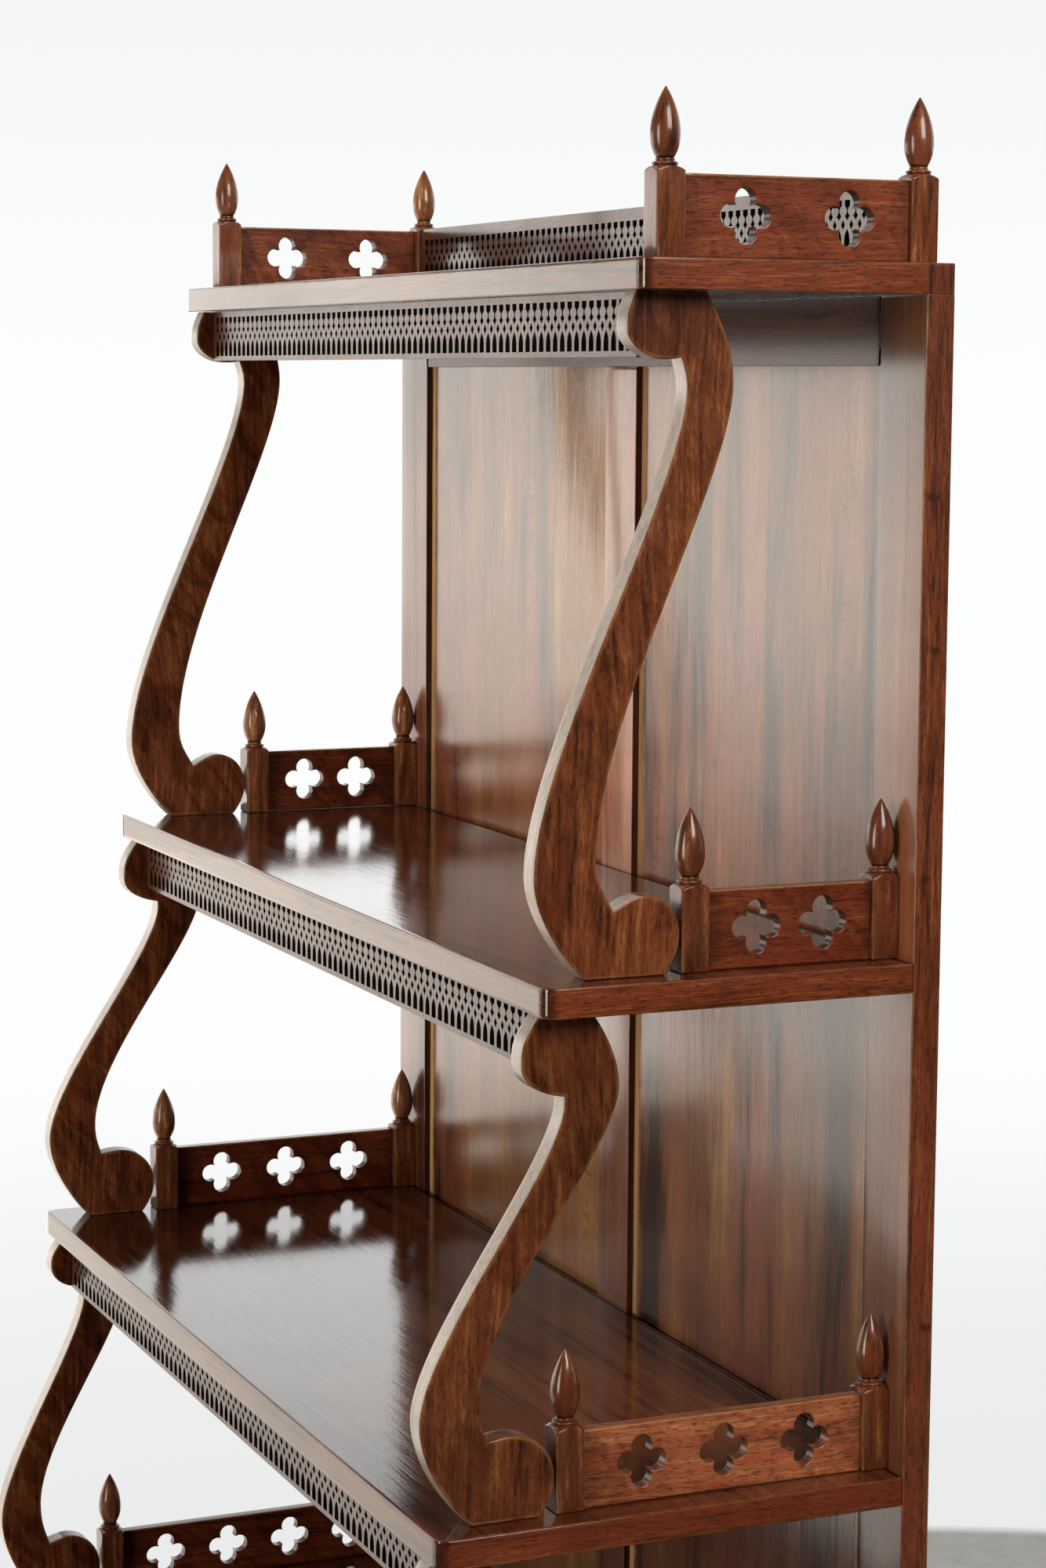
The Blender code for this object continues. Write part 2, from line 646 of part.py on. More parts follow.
def build_frets(fret_material, board_material):
    half = END_FACE - SUPPORT_THICKNESS - FIT
    for bay in range(3):
        top = UNDERSIDES[bay] - FIT
        low = top - FRET_HEIGHT
        outline = rectangle(-half, low, half, top)
        joint = FRONTS[bay] + FRET_SETBACK + FRET_THICKNESS
        plate(
            f"fret_{bay + 1}", outline, FRET_THICKNESS, FACING, (0.0, joint, 0.0),
            fret_material, lancet_row(half, low))
        box(
            f"fret_board_{bay + 1}", (-half, joint + FIT, low),
            (half, joint + FIT + FRET_BACKING, top), board_material)

    face, joint, rear = back_gallery_planes()
    half = END_FACE - POST_SIDE - FIT
    low = TOPS[0] + FIT
    outline = rectangle(-half, low, half, low + BACK_GALLERY_HEIGHT)
    plate(
        "back_gallery_fret", outline, joint - face, FACING, (0.0, joint, 0.0),
        fret_material, lancet_row(half, low + BACK_GALLERY_LANCET_RAISE))
    reach = half + FIT + GALLERY_TONGUE
    box(
        "back_gallery_board", (-reach, joint + FIT, low),
        (reach, rear, low + BACK_GALLERY_HEIGHT), board_material)


def build_plinth(material):
    front = FRONTS[3] + PLINTH_SETBACK
    outer = WIDTH / 2 - PLINTH_SETBACK
    inner = outer - PLINTH_THICKNESS
    quarter = PLINTH_THICKNESS / 4
    low = (-inner - PLINTH_TONGUE, front + quarter, PLINTH_TONGUE_MARGIN)
    high = (inner + PLINTH_TONGUE, front + 3 * quarter, PLINTH_HEIGHT - PLINTH_TONGUE_MARGIN)

    rail = box(
        "plinth_front", (FIT - inner, front, 0.0),
        (inner - FIT, front + PLINTH_THICKNESS, PLINTH_HEIGHT), material)
    boolean(rail, "UNION", [(low, high)])
    for side, word in ((-1, "left"), (1, "right")):
        left, right = sorted((side * inner, side * outer))
        end = box(
            f"plinth_{word}", (left, front, 0.0), (right, FRAME_FRONT - FIT, PLINTH_HEIGHT), material)
        near, far = sorted((side * (inner - OVERCUT), side * (inner + PLINTH_TONGUE + FIT)))
        boolean(end, "DIFFERENCE", [(
            (near, low[1] - FIT, low[2] - FIT), (far, high[1] + FIT, high[2] + FIT))])


def main():
    for obj in list(bpy.data.objects):
        bpy.data.objects.remove(obj, do_unlink=True)
    shelf_wood = wood("shelf_wood", (0.150, 0.048, 0.022), 0.18)
    support_wood = wood("support_wood", (0.130, 0.038, 0.018), 0.24)
    post_wood = wood("post_wood", (0.115, 0.033, 0.016), 0.24)
    gallery_wood = wood("gallery_wood", (0.135, 0.040, 0.019), 0.26)
    fret_wood = wood("fret_wood", (0.120, 0.036, 0.018), 0.30)
    board_wood = wood("board_wood", (0.035, 0.014, 0.009), 0.60)
    frame_wood = wood("frame_wood", (0.125, 0.037, 0.018), 0.22)
    panel_wood = wood("panel_wood", (0.170, 0.055, 0.024), 0.20)
    build_shelves(shelf_wood)
    build_back(frame_wood, panel_wood)
    build_supports(support_wood)
    build_galleries(post_wood, gallery_wood)
    build_frets(fret_wood, board_wood)
    build_plinth(frame_wood)


main()
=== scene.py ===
import math

import bmesh
import bpy
import numpy as np
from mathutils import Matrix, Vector


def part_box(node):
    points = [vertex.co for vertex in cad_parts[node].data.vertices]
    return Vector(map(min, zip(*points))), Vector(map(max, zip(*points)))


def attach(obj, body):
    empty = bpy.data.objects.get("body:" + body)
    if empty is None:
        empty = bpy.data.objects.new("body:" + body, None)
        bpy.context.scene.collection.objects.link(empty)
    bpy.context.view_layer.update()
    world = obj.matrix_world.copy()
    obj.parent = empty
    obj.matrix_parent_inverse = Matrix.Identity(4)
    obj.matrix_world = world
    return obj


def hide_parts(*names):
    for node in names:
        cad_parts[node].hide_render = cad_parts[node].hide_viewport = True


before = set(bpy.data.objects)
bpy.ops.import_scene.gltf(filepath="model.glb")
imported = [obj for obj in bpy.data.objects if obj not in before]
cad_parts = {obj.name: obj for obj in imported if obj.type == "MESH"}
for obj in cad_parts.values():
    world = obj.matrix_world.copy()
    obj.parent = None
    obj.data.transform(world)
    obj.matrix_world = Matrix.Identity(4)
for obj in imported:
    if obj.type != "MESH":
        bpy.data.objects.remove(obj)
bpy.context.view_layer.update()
print("frame loaded:", len(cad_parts), "nodes")


def boxOf(node):
    low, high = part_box(node)
    return np.array(low), np.array(high)


stileLow, stileHigh = boxOf("stile_right")
frameFront = stileLow[1]
shelfLows, shelfHighs = zip(*[boxOf(f"shelf_{number}") for number in (1, 2, 3, 4)])
join = np.concatenate
fit = 0.0003  # clearance of a joint
tiny = 1e-6  # points nearer than this are one


class Val:
    # a socket that can be used in sums, so that an expression adds its Math nodes
    def __init__(self, shade, socket):
        self.shade = shade
        self.socket = socket

    def sum(self, operation, first, second):
        return self.shade.add("Math", {0: first, 1: second}, operation=operation)

    def __add__(self, other):
        return self.sum("ADD", self, other)

    def __sub__(self, other):
        return self.sum("SUBTRACT", self, other)

    def __rsub__(self, other):
        return self.sum("SUBTRACT", other, self)

    def __mul__(self, other):
        return self.sum("MULTIPLY", self, other)


class Shade:
    # one node tree; add makes any node, the other methods make the usual ones
    def __init__(self, tree):
        self.tree = tree

    def add(self, kind, sockets, out=0, **settings):
        node = self.tree.nodes.new("ShaderNode" + kind)
        for key, value in settings.items():
            if key == "stops":
                ramp = node.color_ramp
                while len(ramp.elements) < len(value):
                    ramp.elements.new(0.5)
                for element, (place, colour) in zip(ramp.elements, value):
                    element.position = place
                    element.color = (*colour, 1.0)
            else:
                setattr(node, key, value)
        for key, value in sockets.items():
            self.feed(node.inputs[key], value)
        return Val(self, node.outputs[out])

    def feed(self, socket, value):
        if isinstance(value, Val):
            self.tree.links.new(value.socket, socket)
        else:
            socket.default_value = (*value, 1.0) if socket.type == "RGBA" else value

    def noise(self, vector, scale, detail=2.0, rough=0.5, out=0, twist=0.0):
        sockets = {"Vector": vector, "Scale": scale, "Detail": detail, "Roughness": rough, "Distortion": twist}
        return self.add("TexNoise", sockets, out)

    def between(self, value, low, high, toLow=0.0, toHigh=1.0):
        sockets = {"Value": value, "From Min": low, "From Max": high, "To Min": toLow, "To Max": toHigh}
        return self.add("MapRange", sockets, interpolation_type="SMOOTHSTEP")

    def mix(self, share, first, second, way="MIX"):
        return self.add("Mix", {0: share, 6: first, 7: second}, 2, data_type="RGBA", blend_type=way)

    def vector(self, operation, first, second, out=0):
        return self.add("VectorMath", {0: first, 1: second}, out, operation=operation)

    def mapped(self, vector, kind="POINT", **sockets):
        return self.add("Mapping", {"Vector": vector, **sockets}, vector_type=kind)

    def split(self, asLight, asSeen):
        # one shader for the light that goes round the studio, another for the camera
        toEye = self.add("LightPath", {}, "Is Camera Ray")
        return self.add("MixShader", {0: toEye, 1: asLight, 2: asSeen})


# polished hardwood: tones (deep, body, red, bright), way of the grain, streaks per metre across it and how far
# they run, how strongly streaks (figure) and fibres (fine) show, then own gloss, its sheen, and the coat
plainLook = dict(
    gloss=0.3, sheen=0.12, coat=0.0, coatRough=0.1, rough=0.7, zone=0.35, uneven=0.14, pore=1.0,
    ripple=0.0, mottle=0.4, wander=0.022, swirl=0.0, knots=())
woodLooks = {
    "shelfWood": dict(
        tones=((0.016, 0.005, 0.003), (0.128, 0.034, 0.013), (0.14, 0.029, 0.011), (0.21, 0.076, 0.028)),
        grain="x", streaks=80, run=0.035, figure=2.0, fine=1.1, shift=0.0, gloss=0.02, sheen=0.5, coat=0.15,
        coatRough=0.05, uneven=0.12, pore=0.25, ripple=4.5),
    "edgeWood": dict(
        tones=((0.04, 0.01, 0.004), (0.15, 0.033, 0.0105), (0.16, 0.028, 0.009), (0.33, 0.105, 0.038)),
        grain="y", streaks=170, run=0.03, figure=1.6, fine=1.3, shift=1.7, coat=0.5),
    "supportWood": dict(
        tones=((0.036, 0.01, 0.004), (0.156, 0.042, 0.0125), (0.142, 0.033, 0.011), (0.3, 0.108, 0.034)),
        grain="z", streaks=300, run=0.08, figure=1.1, fine=1.6, shift=3.1, coat=0.45, coatRough=0.16,
        rough=0.16, mottle=0.55, wander=0.045, swirl=0.5, pore=0.7),
    "postWood": dict(
        tones=((0.03, 0.009, 0.004), (0.122, 0.031, 0.01), (0.118, 0.024, 0.008), (0.33, 0.13, 0.044)),
        grain="z", streaks=260, run=0.1, figure=1.0, fine=1.0, shift=5.3, coat=0.8, coatRough=0.14, rough=0.22,
        mottle=0.5, pore=0.7),
    "galleryWood": dict(
        tones=((0.032, 0.007, 0.003), (0.15, 0.033, 0.011), (0.17, 0.029, 0.01), (0.3, 0.09, 0.03)),
        grain="y", streaks=260, run=0.03, figure=1.4, fine=1.2, shift=7.9, coat=0.7, swirl=0.45),
    "fretWood": dict(
        tones=((0.04, 0.016, 0.01), (0.105, 0.038, 0.02), (0.105, 0.032, 0.017), (0.24, 0.105, 0.055)),
        grain="x", streaks=110, run=0.06, figure=1.5, fine=0.9, shift=9.2, gloss=0.32, sheen=0.15, coat=0.46,
        coatRough=0.14),
    "frameWood": dict(
        tones=((0.03, 0.009, 0.004), (0.145, 0.036, 0.012), (0.155, 0.031, 0.011), (0.29, 0.095, 0.031)),
        grain="z", streaks=150, run=0.04, figure=1.7, fine=1.5, shift=11.4, sheen=0.15, coat=0.8,
        coatRough=0.13, swirl=0.3, knots=((0.34, 1.234), (0.55, 1.123), (0.34, 0.957), (0.7, 0.62))),
    "railWood": dict(
        tones=((0.028, 0.01, 0.006), (0.088, 0.032, 0.016), (0.095, 0.027, 0.014), (0.16, 0.064, 0.031)),
        grain="x", streaks=90, run=0.04, figure=1.8, fine=0.9, shift=12.6, gloss=0.22, sheen=0.28,
        uneven=0.1, pore=0.2),
    "panelWood": dict(
        tones=((0.05, 0.024, 0.013), (0.235, 0.096, 0.043), (0.33, 0.116, 0.064), (0.48, 0.245, 0.076)),
        grain="z", cool=(0.064, 0.04, 0.029), streaks=24, run=0.1, figure=1.9, fine=0.6, rough=0.42, shift=14.8,
        zone=1.0, gloss=0.13, sheen=0.6, uneven=0.04, waves=0.6, ripple=14.0, pore=0.35, fleck=0.45,
        gilt=0.6, foot=0.6, shadeUnderShelf=0.25, under=0.3),
    "boardWood": dict(
        tones=((0.01, 0.007, 0.005), (0.026, 0.018, 0.014), (0.03, 0.018, 0.013), (0.045, 0.032, 0.024)),
        grain="x", streaks=60, run=0.06, figure=1.5, fine=0.9, shift=17.0, gloss=0.5, sheen=0.02),
}
# front faces of the back frame (right, left and middle), backs of the panels, front edges of the shelves,
# the fret on the top shelf, and the sawn front edges of the supports, whose pale greyish tones are a
# painted sheen
woodLooks["faceWood"] = dict(
    woodLooks["panelWood"],
    tones=((0.06, 0.025, 0.014), (0.215, 0.084, 0.043), (0.27, 0.092, 0.053), (0.31, 0.145, 0.062)),
    cool=(0.12, 0.058, 0.037), shift=21.3, streaks=70, run=0.03, zone=0.35, rough=0.5, sheen=0.66,
    ripple=4.0, fleck=0.0, gilt=0.2, shadeUnderShelf=0.8)
woodLooks["dullFace"] = dict(woodLooks["faceWood"], sheen=0.52)
woodLooks["middleFace"] = dict(
    woodLooks["faceWood"],
    tones=((0.14, 0.06, 0.035), (0.42, 0.18, 0.095), (0.46, 0.175, 0.098), (0.47, 0.23, 0.118)),
    cool=(0.22, 0.12, 0.07), shadeUnderShelf=0.4, under=0.9)
woodLooks["backWood"] = dict(woodLooks["frameWood"], knots=(), shift=27.1, coat=0.15, gloss=0.45)
woodLooks["frontWood"] = dict(
    woodLooks["shelfWood"],
    tones=((0.03, 0.012, 0.007), (0.15, 0.058, 0.024), (0.15, 0.046, 0.02), (0.3, 0.14, 0.058)),
    shift=23.9, streaks=130, run=0.03)
woodLooks["topFretWood"] = dict(woodLooks["fretWood"], coat=0.9)
# the sawn front edges: pale greyish tones, a painted sheen over the wood
woodLooks["stripWoodPaintedSheen"] = dict(
    woodLooks["supportWood"],
    tones=((0.23, 0.16, 0.115), (0.42, 0.32, 0.25), (0.39, 0.285, 0.215), (0.54, 0.43, 0.35)),
    gloss=0.42, sheen=0.5, coat=1.0, coatRough=0.31, mottle=0.3, swirl=0.0)

# what lies over the wood: tints, among them painted shade and painted casts of the shelves, and in metres
# how far that shade and those casts reach
cover = dict(
    under=(0.33, 0.27, 0.25), underLow=0.8, blur=0.01, shadeUnderShelf=(0.38, 0.31, 0.27), topShadeReach=(0.2, 0.06),
    paintedCasts=((1.15, 0.75, 0.55), (0.62, 0.48, 0.41), (0.62, 0.48, 0.41)), castReach=0.25, footDull=0.08,
    rawDull=0.4, cold=(0.2, 0.44), flame=(0.48, 0.39, 0.33), oldPolish=(0.45, 0.4, 0.38),
    pale=(1.45, 1.6, 1.8), palest=(1.55, 1.95, 2.05), dark=(0.42, 0.36, 0.33), rubbed=(0.06, 0.04, 0.015),
    dirtAndShade=(0.004, 0.002, 0.001), bare=(0.24, 0.105, 0.04), gold=(0.66, 0.38, 0.155))


def makeWood(name, changes):
    # tone = bands + growth lines + fibres, all drawn out along the grain
    # over it lie pores, painted shade and painted casts from the shelves, flames, knots, old polish, paler and
    # darker boards, wear, dirt with painted shade in recesses and seams, and bare strips
    look = {**plainLook, **changes}
    material = bpy.data.materials.new(name)
    material.use_nodes = True
    shade = Shade(material.node_tree)
    surface = material.node_tree.nodes["Principled BSDF"].inputs
    noise, between, mix = shade.noise, shade.between, shade.mix
    deep, body, red, bright = look["tones"]
    stretch = [1.0, 1.0, 1.0]
    stretch["xyz".index(look["grain"])] = look["run"]
    across = look["streaks"]

    place = shade.add("TexCoord", {}, "Object")
    sideways = shade.add("SeparateXYZ", {0: place}, "X")
    height = shade.add("SeparateXYZ", {0: place}, "Z")
    arris = shade.add("Attribute", {}, "Fac", attribute_name="arris")  # wear above zero; dirt and painted shade below zero
    board = shade.add("Attribute", {}, "Fac", attribute_name="tone")  # paler or darker board; its darkening also paints shade on round corners and support heads
    raw = between(arris, 1.2, 1.9)  # bare strip where a panel has shrunk
    wander = noise(place, 3.0, 2.0, 0.5, 1)
    bent = shade.add("VectorMath", {0: wander, 1: (look["wander"],) * 3, 2: place}, operation="MULTIPLY_ADD")
    along = shade.mapped(bent, Location=(look["shift"],) * 3, Scale=stretch)
    aside = shade.vector("ADD", along, (31.0, 17.0, 5.0))

    bands = noise(along, across * 0.22, 3.0, 0.5)  # broad tone of the board
    lines = noise(along, across, 6.0, look["rough"])  # growth lines
    waves = noise(along, across, 6.0, look["waves"]) if "waves" in look else lines
    fibres = noise(along, across * 6.0, 3.0, 0.6)
    warm = noise(aside, across * look["zone"], 3.0, 0.6)  # redder and browner runs
    clouds = noise(place, 14.0, 4.0, 0.6)  # old polish, thicker and thinner
    dashes = [1.0 if size == 1.0 else 0.15 for size in stretch]
    short = shade.mapped(bent, Scale=dashes)
    pores = between(noise(short, 900.0, 1.0, 0.5), 0.55, 0.66) * look["pore"]

    level = 0.1 + 0.5 * (look["figure"] + look["fine"])
    tone = bands * 1.1 + lines * look["figure"] + fibres * look["fine"] - level
    stops = [(0.1, deep), (0.4, body), (0.54, body), (0.95, bright)]
    colour = shade.add("ValToRGB", {0: tone}, stops=stops)
    colour = mix(between(warm, 0.48, 0.66, 0.0, 0.7), colour, red)
    top, second, third = [low[2] for low in shelfLows[:3]]
    blur = cover["blur"]
    if "cool" in look:
        cold = between(height, second - blur, second + blur, *cover["cold"])  # greyer above shelf 2
        colour = mix(between(warm, 0.43, 0.31) * cold, colour, look["cool"])
        golden = bands + between(sideways, -0.05, -0.25, 0.0, 0.045)  # the left board is more golden
        colour = mix(between(golden, 0.5, 0.66, 0.0, look["gilt"]), colour, bright)
    colour = mix(pores * 0.65, colour, deep)
    dull = raw * cover["rawDull"]
    if "fleck" in look:
        patches = between(noise(aside, across * 0.6, 2.0, 0.5), 0.56, 0.66)
        ripple = shade.mapped(bent, Scale=(45.0, 45.0, 120.0))
        fleck = between(noise(ripple, 1.0, 3.0, 0.6), 0.5, 0.64) * patches  # cross-grained spots
        colour = mix(fleck * look["fleck"], colour, deep)
        for edge, share in ((second, look["under"]), (third, cover["underLow"])):  # painted shade below shelves 2 and 3, darker from bay to bay
            below = between(height, edge + blur, edge - blur, 0.0, share)
            colour = mix(below, colour, cover["under"], "MULTIPLY")
        # painted shade under the top shelf
        start, end = [top - reach for reach in cover["topShadeReach"]]
        shadeUnderShelf = between(height, start, end) * look["shadeUnderShelf"]
        colour = mix(shadeUnderShelf, colour, cover["shadeUnderShelf"], "MULTIPLY")
        for high, paintedCast in zip(shelfHighs[1:], cover["paintedCasts"]):  # painted casts: redder above shelf 2, painted shade above shelves 3 and 4
            foot = high[2]
            near = between(height, foot + cover["castReach"], foot)
            near = near * between(height, foot - 0.03, foot - 0.02)
            colour = mix(near * look["foot"], colour, paintedCast, "MULTIPLY")
            dull = near * cover["footDull"] + dull
    if look["swirl"] > 0.0:
        slant = shade.mapped(bent, "TEXTURE", Rotation=(0.6, 0.0, 0.0), Scale=(1.0, 1.0, 3.5))
        swirl = noise(slant, 44.0, 3.0, 0.55, 0, 1.1)  # dark slanting flames, bolder on the left
        flame = between(swirl, 0.47, 0.58) * between(sideways, 0.3, -0.3, 0.85, 1.5)
        colour = mix(flame * look["swirl"], colour, cover["flame"], "MULTIPLY")
    for share, up in look["knots"]:
        spot = (0.0, frameFront + share * (stileHigh[1] - frameFront), up)
        flat = shade.vector("MULTIPLY", shade.vector("SUBTRACT", place, spot), (0.0, 1.0, 1.6))
        away = shade.vector("LENGTH", flat, (0.0, 0.0, 0.0), "Value")
        ragged = away + noise(place, 150.0, 3.0, 0.6) * 0.012 - 0.006
        colour = mix(between(ragged, 0.0065, 0.001, 0.0, 0.85), colour, deep)
    patchy = between(clouds, 0.4, 0.7, 0.0, look["mottle"])
    colour = mix(patchy, colour, cover["oldPolish"], "MULTIPLY")
    # paler and darker boards; the darkening also carries painted shade and painted dark reflection
    for start, end, tint in ((0.0, 1.0, "pale"), (1.0, 2.0, "palest"), (0.0, -1.0, "dark")):
        colour = mix(between(board, start, end), colour, cover[tint], "MULTIPLY")

    rubbed = between(noise(place, 55.0, 4.0, 0.6), 0.36, 0.64, 0.05, 0.5)
    worn = between(arris, 0.2, 1.0) * rubbed
    pale = tuple(0.75 * value + shift for value, shift in zip(bright, cover["rubbed"]))
    colour = mix(worn, colour, pale)
    # marks below zero: dirt, and painted shade in recesses, seams and at the feet of parts
    dirtAndShade = between(arris, -0.1, -1.0, 0.0, 0.85)
    colour = mix(dirtAndShade, colour, cover["dirtAndShade"])
    drawn = shade.mapped(place, Scale=(170.0, 170.0, 9.0))
    gold = between(noise(drawn, 1.0, 2.0, 0.5), 0.26, 0.46)
    gold = gold * between(sideways, -0.2, 0.0, 1.0, 0.45)
    colour = mix(raw, colour, mix(gold, cover["bare"], cover["gold"]))
    shade.feed(surface["Base Color"], colour)

    shade.feed(surface["Roughness"], lines * look["uneven"] + look["gloss"] + pores * 0.08 + dull)
    relief = fibres * 0.4 - pores * 0.6 + waves * look["ripple"]
    normal = shade.add("Bump", {"Strength": 0.1, "Distance": 0.0004, "Height": relief})
    shade.feed(surface["Normal"], normal)
    surface["Specular IOR Level"].default_value = look["sheen"]
    if look["coat"] > 0.0:
        polish = between(clouds, 0.3, 0.7, look["coat"], look["coat"] * 0.8)
        shade.feed(surface["Coat Weight"], polish * (1.0 - raw) * (1.0 - dirtAndShade))
    surface["Coat Roughness"].default_value = look["coatRough"]
    return material


woods = {name: makeWood(name, changes) for name, changes in woodLooks.items()}
print("woods made:", len(woods))


def gridFaces(rows, columns, ring=False):
    # four corners of each patch of a grid that closes round its columns, and with ring set round its rows too
    r, c = np.meshgrid(np.arange(rows if ring else rows - 1), np.arange(columns), indexing="ij")
    after = (c + 1) % columns
    first, second = r * columns, (r + 1) % rows * columns
    return np.stack([first + c, first + after, second + after, second + c], -1)


def tubeFaces(rows, count):
    # sections joined one to the next, with both ends closed
    at = np.arange(rows * count).reshape(rows, count)
    return gridFaces(rows, count).reshape(-1, 4).tolist() + [at[0, ::-1].tolist(), at[-1].tolist()]


def edgeRound(ease, lip, steps=3):
    # quarter round between a side and a face, with a flat lip on each: inset, depth below the face, wear
    turn = np.linspace(0.0, math.pi / 2, steps + 1)
    inset = join([[0.0], ease * (1 - np.cos(turn)), [ease + lip]])
    sink = join([[ease + lip], ease * (1 - np.sin(turn)), [0.0]])
    wear = join([[0.0], np.ones(steps + 1), [0.0]])
    return inset, sink, wear


def putPiece(work, node, points, faces, wood, arris=0.0, tone=0.0, crease=35.0):
    # points and faces become one closed mesh that rides on the case and stands for its CAD node
    name = f"{work}_{node}"
    mesh = bpy.data.meshes.new(name)
    mesh.from_pydata(points.reshape(-1, 3).tolist(), [], faces)
    for key, values in (("arris", arris), ("tone", tone)):
        layer = mesh.attributes.new(key, "FLOAT", "POINT")
        values = np.broadcast_to(np.ravel(values), len(mesh.vertices)).astype(np.float32)
        layer.data.foreach_set("value", values)
    shape = bmesh.new()
    shape.from_mesh(mesh)
    bmesh.ops.remove_doubles(shape, verts=shape.verts[:], dist=tiny)
    bmesh.ops.recalc_face_normals(shape, faces=shape.faces[:])
    shape.to_mesh(mesh)
    shape.free()
    mesh.shade_smooth()
    mesh.set_sharp_from_angle(angle=math.radians(crease))
    mesh.materials.append(woods[wood])
    piece = bpy.data.objects.new(name, mesh)
    bpy.context.scene.collection.objects.link(piece)
    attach(piece, "root")
    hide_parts(node)
    return piece


def bend(first, second, third, last, steps):
    # cubic curve from first to last, drawn towards second and third; its start is left out
    t = np.linspace(0.0, 1.0, steps + 1)[1:, None]
    s = 1.0 - t
    p = [np.array(point, float) for point in (first, second, third, last)]
    return s**3 * p[0] + 3 * s * s * t * p[1] + 3 * s * t * t * p[2] + t**3 * p[3]


def softCorners(corners, radii, marks=0.0, steps=4):
    # each corner of a polygon becomes a round that touches both sides at its radius
    # a third column marks what is worn, fading to both ends of the round, or grimy (below zero) all along it
    corners = np.array(corners, float)
    radii = np.broadcast_to(np.array(radii, float), len(corners))[:, None]
    marks = np.array(marks, float)
    marks = np.broadcast_to(marks if marks.ndim == 2 else np.stack([marks, marks], -1), (len(corners), 2))
    before = np.roll(corners, 1, 0) - corners
    after = np.roll(corners, -1, 0) - corners
    start = corners + before / np.linalg.norm(before, axis=1, keepdims=True) * radii
    end = corners + after / np.linalg.norm(after, axis=1, keepdims=True) * radii
    t = np.linspace(0.0, 1.0, steps + 1)
    s = t[None, :, None]
    rounds = (1 - s)**2 * start[:, None] + 2 * s * (1 - s) * corners[:, None] + s * s * end[:, None]
    marks = marks[:, :1] * (1 - t)[None] + marks[:, 1:] * t[None]
    worn = np.where(marks > 0, marks * np.sin(math.pi * t)[None], marks)
    return join([rounds, worn[..., None]], -1).reshape(-1, 3)


def carry(outline, insets, depths, axes):
    # the outline, drawn in by each inset along its corner lines, at each depth along the third axis
    ahead = np.roll(outline, -1, 0) - outline
    ahead = ahead / np.linalg.norm(ahead, axis=1, keepdims=True)
    behind = np.roll(ahead, 1, 0)
    both = ahead + behind
    inward = np.stack([-both[:, 1], both[:, 0]], 1)
    sharpest = 0.4  # keeps a sharp corner from running away
    inward = inward / np.maximum(1.0 + np.sum(ahead * behind, 1, keepdims=True), sharpest)
    rings = outline[None] + inward[None] * np.array(insets)[:, None, None]
    points = np.zeros((len(insets), len(outline), 3))
    points[..., axes[0]] = rings[..., 0]
    points[..., axes[1]] = rings[..., 1]
    points[..., axes[2]] = np.array(depths)[:, None]
    return points


def tidyOutline(outline):
    # repeated points go, and the outline runs anticlockwise; marks stay with their points
    outline = np.asarray(outline, float)
    if outline.shape[1] == 2:
        outline = join([outline, np.zeros((len(outline), 1))], 1)
    gap = np.linalg.norm((outline - np.roll(outline, 1, 0))[:, :2], axis=1)
    outline = outline[gap > tiny]
    x, y = outline[:, :2].T
    area = np.sum(x * np.roll(y, -1) - np.roll(x, -1) * y)
    return outline if area > 0 else outline[::-1]


def easedBoard(work, node, outline, low, high, axes, wood, ease=0.0012, tone=0.0, lip=0.0025, rub=1.0):
    # outline carried through the thickness; at both faces it draws in along a quarter round, rubbed there
    outline = tidyOutline(outline)
    thickest = (high - low) * 0.45  # the two rounds never meet
    inset, sink, wear = edgeRound(ease, min(lip, thickest - ease))
    insets = join([inset[::-1], inset])
    depths = join([low + sink[::-1], high - sink])
    points = carry(outline[:, :2], insets, depths, axes)
    faces = tubeFaces(len(depths), len(outline))
    worn = join([wear[::-1], wear])[:, None] * rub
    marks = outline[None, :, 2]
    arris = np.where((marks < 0) | (worn < 0), np.minimum(worn, marks), np.maximum(worn, marks))
    tone = np.broadcast_to(tone, arris.shape)
    return putPiece(work, node, points, faces, wood, arris, tone)


def secondWood(piece, wood, choose):
    # faces for which choose(normals, middles) is true take another wood
    mesh = piece.data
    mesh.materials.append(woods[wood])
    normals, middles = np.zeros((2, len(mesh.polygons) * 3))
    mesh.polygons.foreach_get("normal", normals)
    mesh.polygons.foreach_get("center", middles)
    chosen = choose(normals.reshape(-1, 3), middles.reshape(-1, 3))
    index = np.zeros(len(mesh.polygons), np.int32)
    mesh.polygons.foreach_get("material_index", index)
    mesh.polygons.foreach_set("material_index", np.where(chosen, len(mesh.materials) - 1, index))


def rectangle(lowU, lowV, highU, highV):
    return [(lowU, lowV), (highU, lowV), (highU, highV), (lowU, highV)]


shelfShape = dict(
    frontRound=0.013, rearRound=0.0015, roundSteps=7, ease=0.001, rub=0.6, cornerDarkReflection=-1.4,
    tones=(0.2, 0.0, 0.0, 0.0), facing=0.75)


